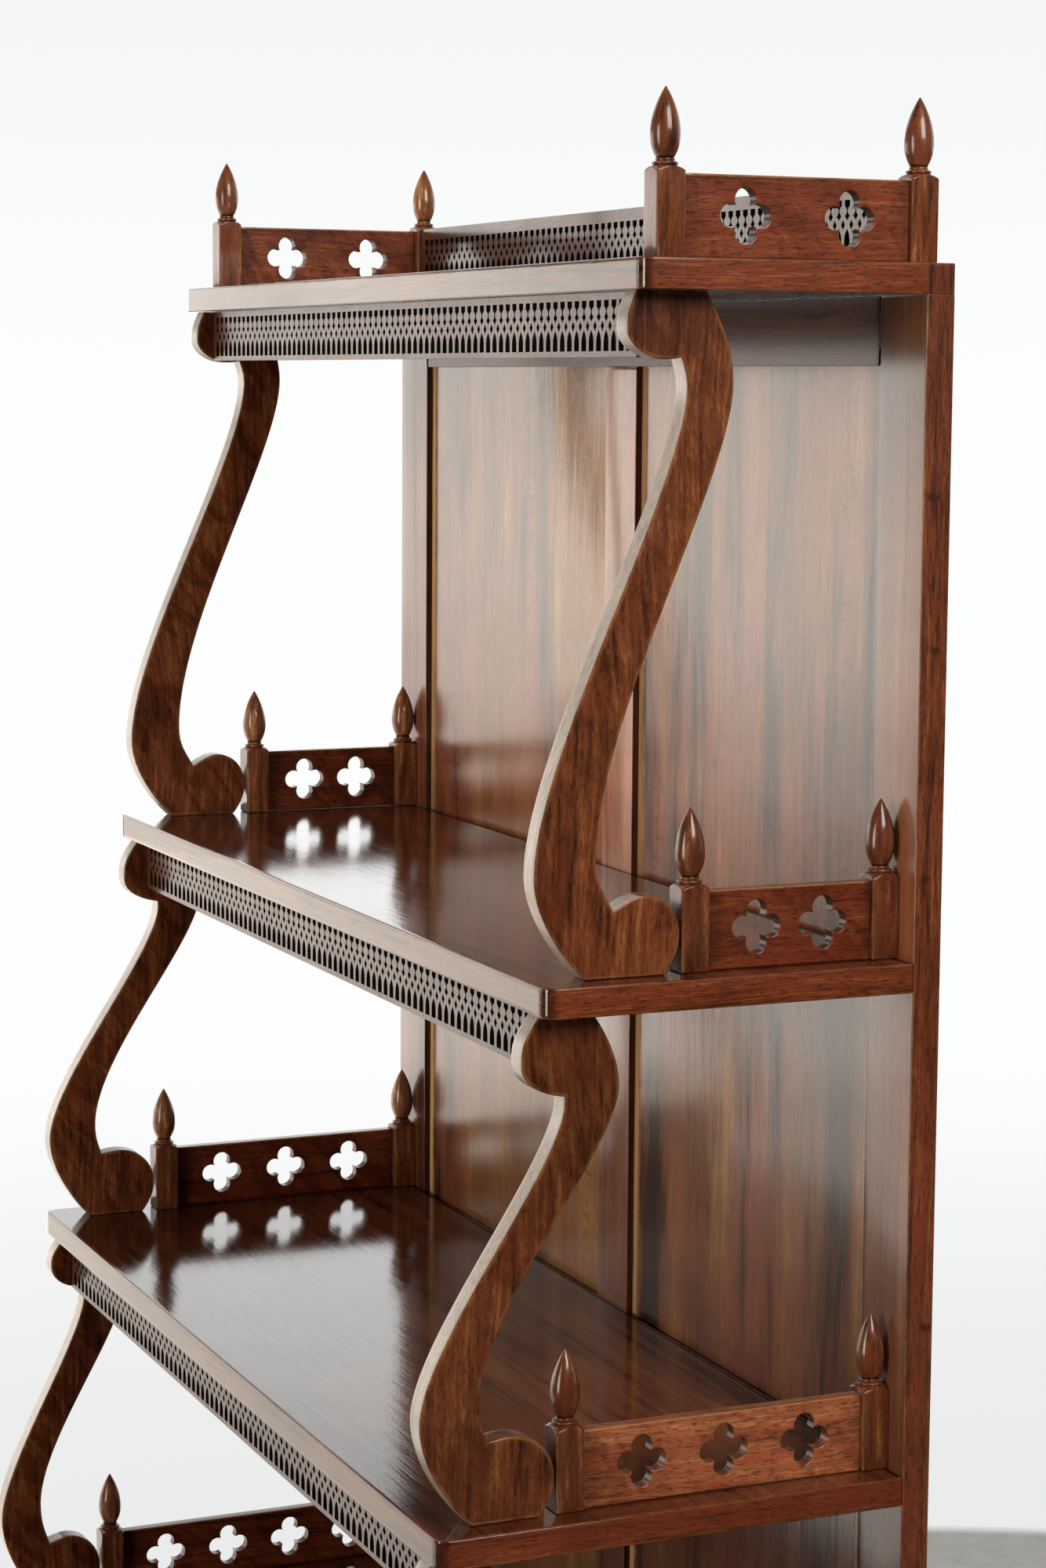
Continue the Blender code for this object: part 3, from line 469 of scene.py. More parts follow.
def makeShelf(number):
    # board with round front corners; its ends show the streaks of a lipping that runs front to back
    low, high = shelfLows[number], shelfHighs[number]
    rear = high[1] if number == 0 else frameFront - fit
    radii = [shelfShape["frontRound"]] * 2 + [shelfShape["rearRound"]] * 2
    corners = rectangle(low[0], low[1], high[0], rear)
    if number == 0:  # the stiles' wood shows up to the top
        corners = corners[:2] + [(high[0], frameFront)] + corners[2:] + [(low[0], frameFront)]
        radii = radii[:2] + [fit] + radii[2:] + [fit]
    steps = shelfShape["roundSteps"]
    outline = softCorners(corners, radii, 0.0, steps)
    # the round front corners darken: a painted dark reflection
    onRound = 1 - np.abs(np.linspace(-1.0, 1.0, steps + 1))
    tone = np.zeros(len(outline))
    tone[:2 * (steps + 1)] = np.tile(onRound, 2) * shelfShape["cornerDarkReflection"]
    tone += shelfShape["tones"][number]
    piece = easedBoard("eased", f"shelf_{number + 1}", outline, low[2], high[2], (0, 1, 2), "shelfWood",
                       shelfShape["ease"], tone, rub=shelfShape["rub"])

    def atEnds(normals, middles):
        return np.abs(normals[:, 0]) > shelfShape["facing"]

    def onFrame(normals, middles):
        return atEnds(normals, middles) & (middles[:, 1] > frameFront + fit)

    secondWood(piece, "frontWood", lambda normals, middles: normals[:, 1] < -shelfShape["facing"])
    secondWood(piece, "edgeWood", atEnds)
    secondWood(piece, "frameWood", onFrame)


for number in range(4):
    makeShelf(number)
print("shelves made")


# sawn supports, sizes for each bay from the top; depths run back from the shelf above, or from the toe
supportSizes = dict(
    lobe=(-0.0012, -0.0085, -0.0055), lobeHeight=(0.0275, 0.036, 0.025), belly=(0.006, -0.003, 0.002),
    cusp=((0.041, 0.0463), (0.0249, 0.0598), (0.0262, 0.046)),
    neck=((0.0456, 0.066), (0.0252, 0.064), (0.027, 0.054)), neckWidth=(0.0366, 0.0427, 0.039),
    neckRear=(0.064, 0.055, 0.055), toe=(0.0, 0.0056, 0.0), ankle=(0.075, 0.078, 0.087),
    ankleWidth=(0.048, 0.0457, 0.039), heel=(0.1142, 0.1043, 0.098), heelRadius=(0.028, 0.0345, 0.031),
    heelTop=(0.0582, 0.0623, 0.0627), heelCusp=((0.0619, 0.0483), (0.0518, 0.0601), (0.0474, 0.0582)))
# sizes that all bays share; how far below the shelf the head's painted shade starts and fades; which faces
# are edges
supportSweep = dict(
    lobeTop=0.0056, neckRear=0.022, toe=0.04, heelIn=0.0115, heelMiddle=0.029, ankleRise=0.012,
    quarter=0.5523, ease=0.0013, headShade=(0.09, 0.05),
    tones={"left": (0.2, 0.2, 0.2), "right": (0.1, -0.35, -0.1)}, headShadeTones=(-0.7, -0.1, 0.0),
    edgeFacing=(-0.2, 0.3))


def supportOutline(bay):
    # front lobe, cusp, long S, toe, heel lobe, cusp and back, as one run of cubic curves
    # a curve is its end, two handles as shares of the way there, across and up, and its steps
    shape = {key: sizes[bay] for key, sizes in supportSizes.items()}
    sweep = supportSweep
    front, top = shelfLows[bay][1], shelfLows[bay][2] - fit
    toe, foot = shelfLows[bay + 1][1] - shape["toe"], shelfHighs[bay + 1][2] + fit
    topFront = (front + sweep["lobeTop"], top)
    lobe = (front + shape["lobe"], top - shape["lobeHeight"])
    cusp = (front + shape["cusp"][0], top - shape["cusp"][1])
    neck = (front + shape["neck"][0], top - shape["neck"][1])
    ankle = (toe, foot + shape["ankle"])
    toeEnd = (toe + sweep["toe"], foot)
    heel = (toe + shape["heel"], foot + sweep["heelMiddle"])
    heelEnd = (heel[0] - sweep["heelIn"], foot)
    heelTop = (heel[0] - shape["heelRadius"], foot + shape["heelTop"])
    heelCusp = (toe + shape["heelCusp"][0], foot + shape["heelCusp"][1])
    ankleRear = (toe + shape["ankleWidth"], ankle[1] + sweep["ankleRise"])
    neckRear = (neck[0] + shape["neckWidth"], top - shape["neckRear"])
    topRear = (neckRear[0] - sweep["neckRear"], top)
    quarter = sweep["quarter"]
    hollow = 1 + shape["belly"] / (lobe[1] - cusp[1])
    curves = [
        (lobe, (1, 1 / 2), (1, 2 / 3), 7),
        (cusp, (0, 1 / 2), (0.4, hollow), 12),
        (neck, (1 / 2, 1 / 3), (1, 2 / 3), 3),
        (ankle, (0, 0.2), (1, 0.75), 40),
        (toeEnd, (0, 0.36), (0.5, 0.75), 14),
        (heelEnd, (0, 0), (1, 1), 1),
        (heel, (2 / 3, 1 / 3), (1, 0.6), 7),
        (heelTop, (0, quarter), (1 - quarter, 1), 10),
        (heelCusp, (1 / 3, 0), (2 / 3, 1 / 2), 6),
        (ankleRear, (1 / 2, 1 / 3), (1, 1 / 2), 8),
        (neckRear, (0, 0.3), (1, 0.8), 40),
        (topRear, (0, 0.38), (0.5, 0.72), 12)]
    points = [np.array([topFront])]
    for end, first, second, steps in curves:
        start = points[-1][-1]
        way = np.array(end) - start
        points.append(bend(start, start + way * first, start + way * second, end, steps))
    return join(points)


def frontEdge(normals, middles):
    front, sideways = supportSweep["edgeFacing"]
    return (normals[:, 1] < front) & (np.abs(normals[:, 0]) < sideways)


for bay in range(3):
    for side in ("left", "right"):
        node = f"support_{bay + 1}_{side}"
        low, high = boxOf(node)
        outline = tidyOutline(supportOutline(bay))
        # the head darkens under the shelf above: painted shade
        start, fade = supportSweep["headShade"]
        shadeUnderShelf = np.clip((outline[:, 1] - high[2] + start) / fade, 0.0, 1.0)
        tone = supportSweep["tones"][side][bay] + supportSweep["headShadeTones"][bay] * shadeUnderShelf
        piece = easedBoard("sawn", node, outline, low[0], high[0], (1, 2, 0), "supportWood",
                           supportSweep["ease"], tone)
        # the front edges take the pale wood, a painted sheen
        secondWood(piece, "stripWoodPaintedSheen", frontEdge)
print("supports made")


# square post and its turning: radius and height of each part, in metres, from the foot of the post
postShape = dict(
    half=0.011, squareness=26.0, footRise=0.0012, footDraw=0.0008, squareTop=0.001,
    turning=dict(corner=(0.016, 0.0594), shoulder=(0.0086, 0.0634), groove=(0.0082, 0.0639),
                 collar=(0.0093, 0.0653), ring=(0.007, 0.0676), neck=(0.0062, 0.0689), bud=(0.0109, 0.0853),
                 tip=(0.0, 0.1181)),
    rubbedTurn=3.0, grooveDirt=0.0003, neckDirt=0.0009, dirt=-0.8, footShade=-1.0, budRise=0.004, crease=38.0,
    tones={"left": [0.8, 1.3, 1.2, 1.0], "right": [0.7, 0.3, 0.3, 0.3]},
    budTones={"left": [0.7, 0.7, 0.7, 0.7], "right": [0.3, -0.3, -0.2, -0.2]})


def turnedProfile():
    # radius and height up the turning: domed shoulder, flat collar, small ring, then the pointed bud
    corner, shoulder, groove, collar, ring, neck, bud, tip = map(np.array, postShape["turning"].values())
    up = np.array((0.0, 1.0))
    swell, point = bud[1] - neck[1], tip[1] - bud[1]
    collarTop = collar + (-0.0007, 0.0008)
    ringFoot = ring - (0.0005, 0.0007)
    return join([
        [corner],
        bend(corner, corner + (-0.003, 0.0022), shoulder + (0.0022, -0.0002), shoulder, 10),
        [groove],
        bend(groove, groove + (0.0009, 0.0001), collar - 0.0006 * up, collar, 4),
        bend(collar, collar + 0.0005 * up, collarTop + (0.0003, 0.0), collarTop, 3),
        bend(collarTop, (ring[0], collarTop[1] + 0.0001), ringFoot - (0.0002, 0.0004), ringFoot, 4),
        bend(ringFoot, ring - 0.0007 * up, ring - 0.0003 * up, ring, 3),
        bend(ring, ring + 0.0005 * up, neck + (0.0006, -0.0004), neck, 4),
        bend(neck, neck + (0.0026, 0.25 * swell), bud - 0.45 * swell * up, bud, 14),
        bend(bud, bud + 0.42 * point * up,
             (0.42 * bud[0], tip[1] - 0.2 * point), tip + (0.0004, -0.0003), 18),
    ])


def makePost(shelf, end, side):
    # the nearer of a rounded square and the turning's circle, at each angle and height
    node = f"post_{shelf + 1}_{end}_{side}"
    low, high = boxOf(node)
    middle = (low + high) / 2
    shape = postShape
    corner, groove, neck = [shape["turning"][part] for part in ("corner", "groove", "neck")]
    base = shelfHighs[shelf][2] + fit
    spread = np.linspace(-1.0, 1.0, 17)[:-1]
    spread = np.sign(spread) * np.abs(spread)**1.5 * 45.0  # degrees from a corner, closer together near it
    angles = np.radians((45.0 + 90.0 * np.arange(4)[:, None] + spread[None]).ravel())
    power = shape["squareness"]
    square = shape["half"] / (np.abs(np.cos(angles))**power + np.abs(np.sin(angles))**power)**(1 / power)
    shaft = np.array([(1.0, 0.0), (1.0, shape["footRise"]), (1.0, corner[1] - shape["squareTop"])])
    rows = join([shaft, turnedProfile()])
    radius = np.minimum(square[None], rows[:, :1])
    radius[0] -= shape["footDraw"]
    points = np.stack([
        middle[0] + radius * np.cos(angles), middle[1] + radius * np.sin(angles),
        np.broadcast_to(base + rows[:, 1:], radius.shape)], -1)
    faces = tubeFaces(len(rows), len(angles))
    onCorner = np.exp(-((np.abs(spread) / shape["rubbedTurn"])**2))
    arris = np.tile(onCorner, 4)[None] * (rows[:, :1] > corner[0])
    inGroove = np.abs(rows[:, 1] - groove[1]) < shape["grooveDirt"]
    inNeck = np.abs(rows[:, 1] - neck[1]) < shape["neckDirt"]
    arris[inGroove | inNeck] = shape["dirt"]
    # the foot ring darkens: painted contact shade where the post meets the shelf
    arris[0] = shape["footShade"]
    onBud = np.clip((rows[:, 1:] - neck[1]) / shape["budRise"], 0.0, 1.0)
    tone = shape["tones"][side][shelf] + shape["budTones"][side][shelf] * onBud + np.zeros(len(angles))
    putPiece("turned", node, points, faces, "postWood", arris, tone, shape["crease"])


for number in range(4):
    for end in ("front", "rear"):
        for side in ("left", "right"):
            makePost(number, end, side)
print("posts made")


# pierced end galleries: quatrefoil from four round lobes, pitch on each shelf from the top down
galleryShape = dict(
    pitches=(0.083, 0.054, 0.0666, 0.065), counts=(2, 2, 3, 4), centre=0.0302, lobeRadius=0.0084,
    lobeOffset=0.0114, tongue=0.004, ease=0.0008, lip=0.0014, sawn=-0.55, topRub=1.5, endShade=-0.5,
    footShade=-0.7, tones={"left": (0.5, -0.1, 0.3, 0.4), "right": (0.5, -0.1, 1.8, 0.5)})


def quatrefoil(grow=0.0, steps=14):
    # an arc about a lobe's centre between two cusps on the diagonals, set round in four turns
    offset, radius = galleryShape["lobeOffset"], galleryShape["lobeRadius"] + grow
    cusp = (offset + math.sqrt(2 * radius**2 - offset**2)) / 2
    spread = math.atan2(cusp, cusp - offset)
    lobe = offset + radius * np.exp(1j * np.linspace(-spread, spread, steps + 1)[:-1])
    lobes = np.outer((1, 1j, -1, -1j), lobe).ravel()
    return np.stack([lobes.real, lobes.imag], 1)


def onBox(hole, left, bottom, right, top):
    # where the ray from the middle through each point of the hole meets the cell's border
    with np.errstate(divide="ignore"):
        across = np.where(hole[:, 0] > 0, right, left) / hole[:, 0]
        upward = np.where(hole[:, 1] > 0, top, bottom) / hole[:, 1]
    border = hole * np.minimum(np.abs(across), np.abs(upward))[:, None]
    corners = np.array(rectangle(left, bottom, right, top))
    turn = np.arctan2(border[:, 1], border[:, 0])
    apart = np.abs(np.arctan2(corners[:, 1], corners[:, 0])[:, None] - turn[None])
    border[np.argmin(apart, 1)] = corners
    return border


def makeGallery(number, side):
    # each opening sits in its own cell, a closed ring of sections: border, near face, hole, far face, border
    node = f"gallery_{number + 1}_{side}"
    low, high = boxOf(node)
    shape = galleryShape
    start, end = low[1] + shape["tongue"] + fit, high[1] - shape["tongue"] - fit
    count, pitch = shape["counts"][number], shape["pitches"][number]
    centres = (start + end) / 2 + (np.arange(count) - (count - 1) / 2) * pitch
    level = low[2] + shape["centre"]
    bottom, top = low[2] - level, high[2] - level
    hole = quatrefoil()
    columns = len(hole)
    inset, sink, wear = edgeRound(shape["ease"], shape["lip"])
    bothInsets = join([inset, inset[::-1]])
    bothDepths = join([low[0] + sink, high[0] - sink[::-1]])
    half = len(inset)
    holeRings = np.zeros((2 * half, columns, 3))
    holeRings[..., 0] = join([low[0] + sink[::-1], high[0] - sink])[:, None]
    holeRings[..., 1:] = np.stack([quatrefoil(grow) for grow in join([inset[::-1], inset])])
    wall = np.zeros(half)
    wall[-2:] = shape["sawn"]
    cellWear = join([wear, wall, wall[::-1], wear[::-1]])
    allPoints, allFaces, allMarks = [], [], []
    for index, centre in enumerate(centres):
        first, last = index == 0, index == count - 1
        left = start - centre if first else -pitch / 2
        right = end - centre if last else pitch / 2
        border = onBox(hole, left, bottom, right, top)
        rim = np.zeros((2 * half, columns, 3))
        draw = bothInsets[:, None]
        rim[..., 0] = bothDepths[:, None]
        rim[..., 1] = np.clip(border[None, :, 0], left + draw * first, right - draw * last)
        rim[..., 2] = np.clip(border[None, :, 1], bottom + draw, top - draw)
        points = join([rim[:half], holeRings, rim[half:]])
        points[..., 1] += centre
        points[..., 2] += level
        rows = len(points)
        faces = gridFaces(rows, columns, True)
        middles = (np.roll(border, -1, 0) + border)[:, 0] / 2
        joined = (np.abs(middles - left) < tiny) & (not first)
        joined |= (np.abs(middles - right) < tiny) & (not last)
        onRim = np.ones(rows, bool)
        onRim[half - 1:rows - half] = False
        onLeft, onRight = np.abs(border[:, 0] - left) < tiny, np.abs(border[:, 0] - right) < tiny
        onTop, onFoot = border[:, 1] > top - tiny, border[:, 1] < bottom + tiny
        atEnd = (onLeft & first) | (onRight & last)
        share = np.where(onTop, shape["topRub"], 1.0)
        share = np.where((onLeft | onRight) & ~(onTop | onFoot | atEnd), 0.0, share)  # where two cells meet
        # the foot against the shelf takes painted contact shade
        share = np.where(onFoot, shape["footShade"], share)
        marks = np.broadcast_to(cellWear[:, None], (rows, columns)).copy()
        marks[:half] *= share
        marks[-half:] *= share
        # the ends against the posts take painted shade in the gap
        marks[np.ix_(np.r_[:half, rows - half:rows], atEnd)] = shape["endShade"]
        allMarks.append(marks.ravel())
        keep = ~(onRim[:, None] & joined[None])
        allFaces.append(faces[keep] + len(allPoints) * rows * columns)
        allPoints.append(points.reshape(-1, 3))
    putPiece("pierced", node, join(allPoints), join(allFaces).tolist(), "galleryWood",
             join(allMarks), shape["tones"][side][number])


for number in range(4):
    for side in ("left", "right"):
        makeGallery(number, side)
print("galleries made")


# fret: half widths of the openings down one repeat, as (height below the motif's top, half width)
fretShape = dict(
    pitch=0.0127, end=0.004, sill=0.00005, closed=1e-5, skin=0.0001, topUnderShelf=0.0054, topOnShelf=0.0105,
    tops=[(0.0, 0.0), (0.0, 0.004), (0.0044, 0.004), (0.005, 0.0029), (0.0062, 0.0014),
          (0.0081, 0.0006), (0.01, 0.0014), (0.0112, 0.0028), (0.0119, 0.0035), (0.0152, 0.0)],
    diamonds=[(0.0146, 0.0), (0.0184, 0.0029), (0.0222, 0.0)],
    lancets=[(0.0211, 0.0), (0.024, 0.0024), (0.0265, 0.0036), (0.0296, 0.0042), (0.0363, 0.0042),
             (0.0363, 0.0)])


def makeFret(node, motifTop, wood):
    # web between two rows of openings: at each height it runs from a(v) to half a pitch less b(v)
    low, high = boxOf(node)
    shape = fretShape
    sill = shape["sill"]
    middle = np.array(shape["tops"] + shape["lancets"])
    middle[1, 0] += sill
    middle[-1, 0] += sill
    ends = np.array(shape["diamonds"])
    tall = high[2] - low[2]
    heights = np.unique(join([[-motifTop], middle[:, 0], ends[:, 0], [tall - motifTop]]))
    a = np.interp(heights, middle[:, 0], middle[:, 1])
    b = np.interp(heights, ends[:, 0], ends[:, 1])
    a[a < shape["closed"]] = 0.0
    b[b < shape["closed"]] = 0.0
    half = shape["pitch"] / 2
    count = int((high[0] - low[0] - 2 * shape["end"]) / shape["pitch"])
    centres = (low[0] + high[0]) / 2 + (np.arange(count) - (count - 1) / 2) * shape["pitch"]
    across = np.stack([a, half - b], 1)  # row, edge of the web
    signs = np.array([-1.0, 1.0])
    x = centres[:, None, None, None] + signs[None, :, None, None] * across[None, None]
    x[0, 0, :, 1], x[-1, 1, :, 1] = low[0], high[0]
    points = np.zeros((count, 2, len(heights), 2, 2, 3))  # repeat, side, row, edge, face
    points[..., 0] = x[..., None]
    points[..., 1] = np.array([low[1], high[1]])
    points[..., 2] = (high[2] - motifTop - heights)[None, None, :, None, None]
    at = np.arange(points.size // 3).reshape(points.shape[:-1])
    up, down = at[:, :, :-1], at[:, :, 1:]
    openA = (a[:-1] > 0) | (a[1:] > 0)
    openB = (b[:-1] > 0) | (b[1:] > 0)

    def quads(first, second, third, fourth):
        return np.stack([first, second, third, fourth], -1).reshape(-1, 4)

    parts = []
    for face in (0, 1):
        parts.append(quads(up[..., 0, face], up[..., 1, face], down[..., 1, face], down[..., 0, face]))
    for edge, isOpen in ((0, openA), (1, openB)):
        u, d = up[:, :, isOpen], down[:, :, isOpen]
        parts.append(quads(u[..., edge, 0], d[..., edge, 0], d[..., edge, 1], u[..., edge, 1]))
    for row in (at[:, :, 0], at[:, :, -1]):
        parts.append(quads(row[..., 0, 0], row[..., 1, 0], row[..., 1, 1], row[..., 0, 1]))
    for u, d in ((up[0, 0], down[0, 0]), (up[-1, 1], down[-1, 1])):
        shut = ~openB
        parts.append(quads(u[shut, 1, 0], d[shut, 1, 0], d[shut, 1, 1], u[shut, 1, 1]))
    faces = join(parts).tolist()
    piece = putPiece("pierced", node, points, faces, wood)
    inLow, inHigh = low + shape["skin"], high - shape["skin"]
    secondWood(piece, "boardWood", lambda normals, middles: (np.abs(normals[:, 1]) < 0.5) & np.all(
        (middles > inLow) & (middles < inHigh), 1))


for number in (1, 2, 3):
    makeFret(f"fret_{number}", fretShape["topUnderShelf"], "fretWood")
makeFret("back_gallery_fret", fretShape["topOnShelf"], "topFretWood")
print("frets made")


# grooved back frame: rounds of its edges, depth of the groove, and how far the panel lies behind the front
frameShape = dict(
    ease=0.001, corner=0.0016, sharp=0.0001, butt=0.0004, groove=0.01, panelFace=0.006, panel=0.009,
    dirtAndShade=-0.7, recessShadeFade={"left": 0.003, "right": 0.008}, muntinTone=0.5, stileTones={"left": 0.0, "right": 0.35},
    railDirt=-0.8, railLip=0.006, railHighlight=1.6, stileGap=0.00003, facing=0.9)


def facesFront(normals, middles):
    return normals[:, 1] < -frameShape["facing"]


def makeBackFrame():
    # stiles and muntin: grooved outline carried up; rails: grooved outline carried across
    shape = frameShape
    near = frameFront + shape["panelFace"] - fit
    far = near + shape["panel"] + 2 * fit
    back = stileHigh[1]
    depth, ease, sharp = shape["groove"], shape["ease"], shape["sharp"]
    dirtAndShadeMarks = (shape["dirtAndShade"],) * 2
    stileTop = shelfLows[0][2] - shape["stileGap"]
    for side, sign, face in (("left", -1, "dullFace"), ("right", 1, "faceWood")):
        node = f"stile_{side}"
        low, high = boxOf(node)
        inner, outer = (high[0], low[0]) if sign < 0 else (low[0], high[0])
        bed = inner + sign * depth
        clear = inner + sign * shape["recessShadeFade"][side]  # dirt and painted shade of the recess fade out to here
        corners = [(inner, frameFront), (clear, frameFront), (outer, frameFront), (outer, back), (inner, back),
                   (inner, far), (bed, far), (bed, near), (inner, near)]
        radii = [ease, sharp, shape["corner"], ease, ease, sharp, sharp, sharp, sharp]
        # corners in the recess take dirt and painted shade
        marks = [dirtAndShadeMarks, (0, 0), (1, 1), (1, 1), (1, 1)] + [dirtAndShadeMarks] * 4
        piece = easedBoard("grooved", node, softCorners(corners, radii, marks), low[2], stileTop, (0, 1, 2),
                           "frameWood", sharp, shape["stileTones"][side], rub=0.0)
        secondWood(piece, face, facesFront)
    low, high = boxOf("muntin")
    railTop, railLow = boxOf("bottom_rail")[1][2], boxOf("top_rail")[0][2]
    half = high[0]
    bed = half - depth
    right = [(half, frameFront), (half, near), (bed, near), (bed, far), (half, far), (half, back)]
    corners = right + [(-x, y) for x, y in right[::-1]]
    radii = [ease, sharp, sharp, sharp, sharp, ease] + [ease, sharp, sharp, sharp, sharp, sharp]
    # the muntin's recesses take dirt and painted shade
    marks = [(0, dirtAndShadeMarks[0])] + [dirtAndShadeMarks] * 4 + [(1, 1)]
    marks += [mark[::-1] for mark in marks[::-1]]
    piece = easedBoard("grooved", "muntin", softCorners(corners, radii, marks), railTop + fit, railLow - fit,
                       (0, 1, 2), "frameWood", shape["butt"], shape["muntinTone"], rub=0.0)
    secondWood(piece, "middleFace", facesFront)
    for node, sign in (("top_rail", -1), ("bottom_rail", 1)):
        low, high = boxOf(node)
        edge, plain = (low[2], high[2]) if sign < 0 else (high[2], low[2])
        bed = edge - sign * depth
        corners = [(frameFront, plain), (back, plain), (back, edge), (far, edge), (far, bed),
                   (near, bed), (near, edge), (frameFront, edge)]
        radii = [ease, ease, ease, sharp, sharp, sharp, sharp, ease]
        # groove corners take dirt and painted shade; the front arris by the groove takes a painted highlight
        marks = [(0, 0), (0, 0), (1, 1)] + [dirtAndShadeMarks] * 4 + [(shape["railHighlight"],) * 2]
        outline = softCorners(corners, radii, marks)
        easedBoard("grooved", node, outline, -stileLow[0] + fit, stileLow[0] - fit, (1, 2, 0), "railWood",
                   shape["butt"], lip=shape["railLip"], rub=shape["railDirt"])


makeBackFrame()
print("back frame made")

plinthShape = dict(frontCorner=0.0012, sideCorner=0.0015, butt=0.0004)


def makePlinth():
    # plain rails: rectangle with soft corners carried along each rail
    low, high = boxOf("plinth_front")
    inner = boxOf("plinth_left")[1][0]
    outline = softCorners(rectangle(low[1], low[2], high[1], high[2]), plinthShape["frontCorner"], 1.0)
    easedBoard("eased", "plinth_front", outline, inner + fit, -inner - fit, (1, 2, 0), "railWood",
               plinthShape["butt"])
    for node in ("plinth_left", "plinth_right"):
        low, high = boxOf(node)
        outline = softCorners(rectangle(low[0], low[2], high[0], high[2]), plinthShape["sideCorner"], 1.0)
        easedBoard("eased", node, outline, low[1], high[1], (0, 2, 1), "edgeWood")


makePlinth()
print("plinth made")

# back panels: width of the bare strip beside the grooves, where the wood has shrunk; shares of that width,
# and the mark at each, 2 for bare wood and 0 for polish
panelShape = dict(
    bare=0.011, shares=(0.0, 0.3, 0.5, 0.75, 1.0, 1.4), fading=(2.0, 2.0, 1.75, 1.45, 0.9, 0.0),
    butt=0.0004, tones={"left": 0.0, "right": 0.22})


def makePanel(side):
    # flat board; marks of the bare strip fall off across a few columns of points
    node = f"back_panel_{side}"
    low, high = boxOf(node)
    groove = frameShape["groove"]
    left, right = low[0] + groove - fit, high[0] - groove + fit
    reach = np.array(panelShape["shares"]) * panelShape["bare"]
    fading = np.array(panelShape["fading"])
    x = join([[low[0]], left + reach, right - reach[::-1], [high[0]]])
    marks = join([fading[:1], fading, fading[::-1], fading[:1]])
    front = np.stack([x, np.full(len(x), low[1]), marks], 1)
    back = [(high[0], high[1], 0.0), (low[0], high[1], 0.0)]
    panel = easedBoard("shrunk", node, join([front, back]), low[2], high[2], (0, 1, 2), "panelWood",
                       panelShape["butt"], panelShape["tones"][side], rub=0.0)
    secondWood(panel, "backWood", lambda normals, middles: normals[:, 1] > 0.5)


for side in ("left", "right"):
    makePanel(side)
for node in ("fret_board_1", "fret_board_2", "fret_board_3", "back_gallery_board"):
    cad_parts[node].material_slots[0].material = woods["boardWood"]
print("panels and boards dressed")


# camera, floor and world; the floor fades to white between two distances from its middle
studio = dict(
    place=(2.6005, -1.0197, 1.3144), turn=(83.1289, -0.393, 66.4814), lens=76.731, sensor=36.0, floor=30.0,
    floorMiddle=(0.75, 0.3, 0.0), floorFade=(1.49, 1.53), floorPaler=(1.5, 4.5, 0.84, 1.0), floorRough=0.6,
    floorTones=((0.42, 0.42, 0.39), (0.5, 0.5, 0.46)), floorLight=(0.15, 0.125, 0.105),
    white=(0.98, 0.992, 0.986), wall=(0.905, 0.925, 0.915), wallShadeRise=(-0.02, 0.13),
    backSide=(-0.7, 0.71, 0.0), skyStrength=(0.275, 0.4, 1.9, 0.75),
    skyStops=[(0.0, (0.02,) * 3), (0.35, (0.03,) * 3), (0.68, (0.12,) * 3), (0.9, (0.98, 0.995, 0.985))])
# a lamp is its middle, the way that it faces, its two sides and its radiance; plainLamp has what it leaves out
plainLamp = dict(way=(5.95, 2.6, 0.0), tint=(1.0, 0.96, 0.88), spread=180.0)
lamps = {
    "key": dict(
        place=(3.1, 0.4, 2.8), way=(-2.7, -0.4, -1.9), sides=(1.6, 1.6), glow=14.0, tint=(1.0, 0.97, 0.93)),
    "front": dict(
        place=(1.0, -3.0, 1.2), way=(-1.0, 3.2, -0.1), sides=(0.9, 2.2), glow=16.0,
        tint=(1.0, 0.94, 0.86), spread=60.0),
    "strip": dict(
        place=(-2.4, -3.3, 1.0), way=(2.7, 3.2, 0.0), sides=(0.22, 1.8), glow=12.0,
        tint=(1.0, 0.97, 0.93), spread=90.0),
    "high": dict(
        place=(-3.6, -1.55, 4.6), way=(3.6, 1.55, -3.6), sides=(3.0, 4.0), glow=1.5, tint=(1.0, 0.97, 0.92)),
    "cardLeft": dict(place=(-6.538, -1.353, 1.175), sides=(1.458, 1.65), glow=1.65),
    "cardMiddle": dict(place=(-6.126, -2.296, 1.175), sides=(0.602, 1.65), glow=2.68),
    "cardRight": dict(place=(-5.538, -3.643, 1.175), sides=(2.34, 1.65), glow=3.05),
    "cardFoot": dict(place=(-5.95, -2.7, 0.175), sides=(4.4, 0.35), glow=1.9),
    "floorFar": dict(place=(-4.39, -1.92, 0.012), turn=23.6, sides=(3.2, 2.8), glow=2.6),
    "floorNear": dict(place=(-1.73, -0.76, 0.012), turn=23.6, sides=(2.6, 2.8), glow=1.55),
}


def makeCamera():
    camera = bpy.data.cameras.new("camera")
    camera.lens = studio["lens"]
    camera.sensor_width = studio["sensor"]
    view = bpy.data.objects.new("camera", camera)
    view.location = studio["place"]
    view.rotation_euler = [math.radians(angle) for angle in studio["turn"]]
    bpy.context.scene.collection.objects.link(view)
    bpy.context.scene.camera = view


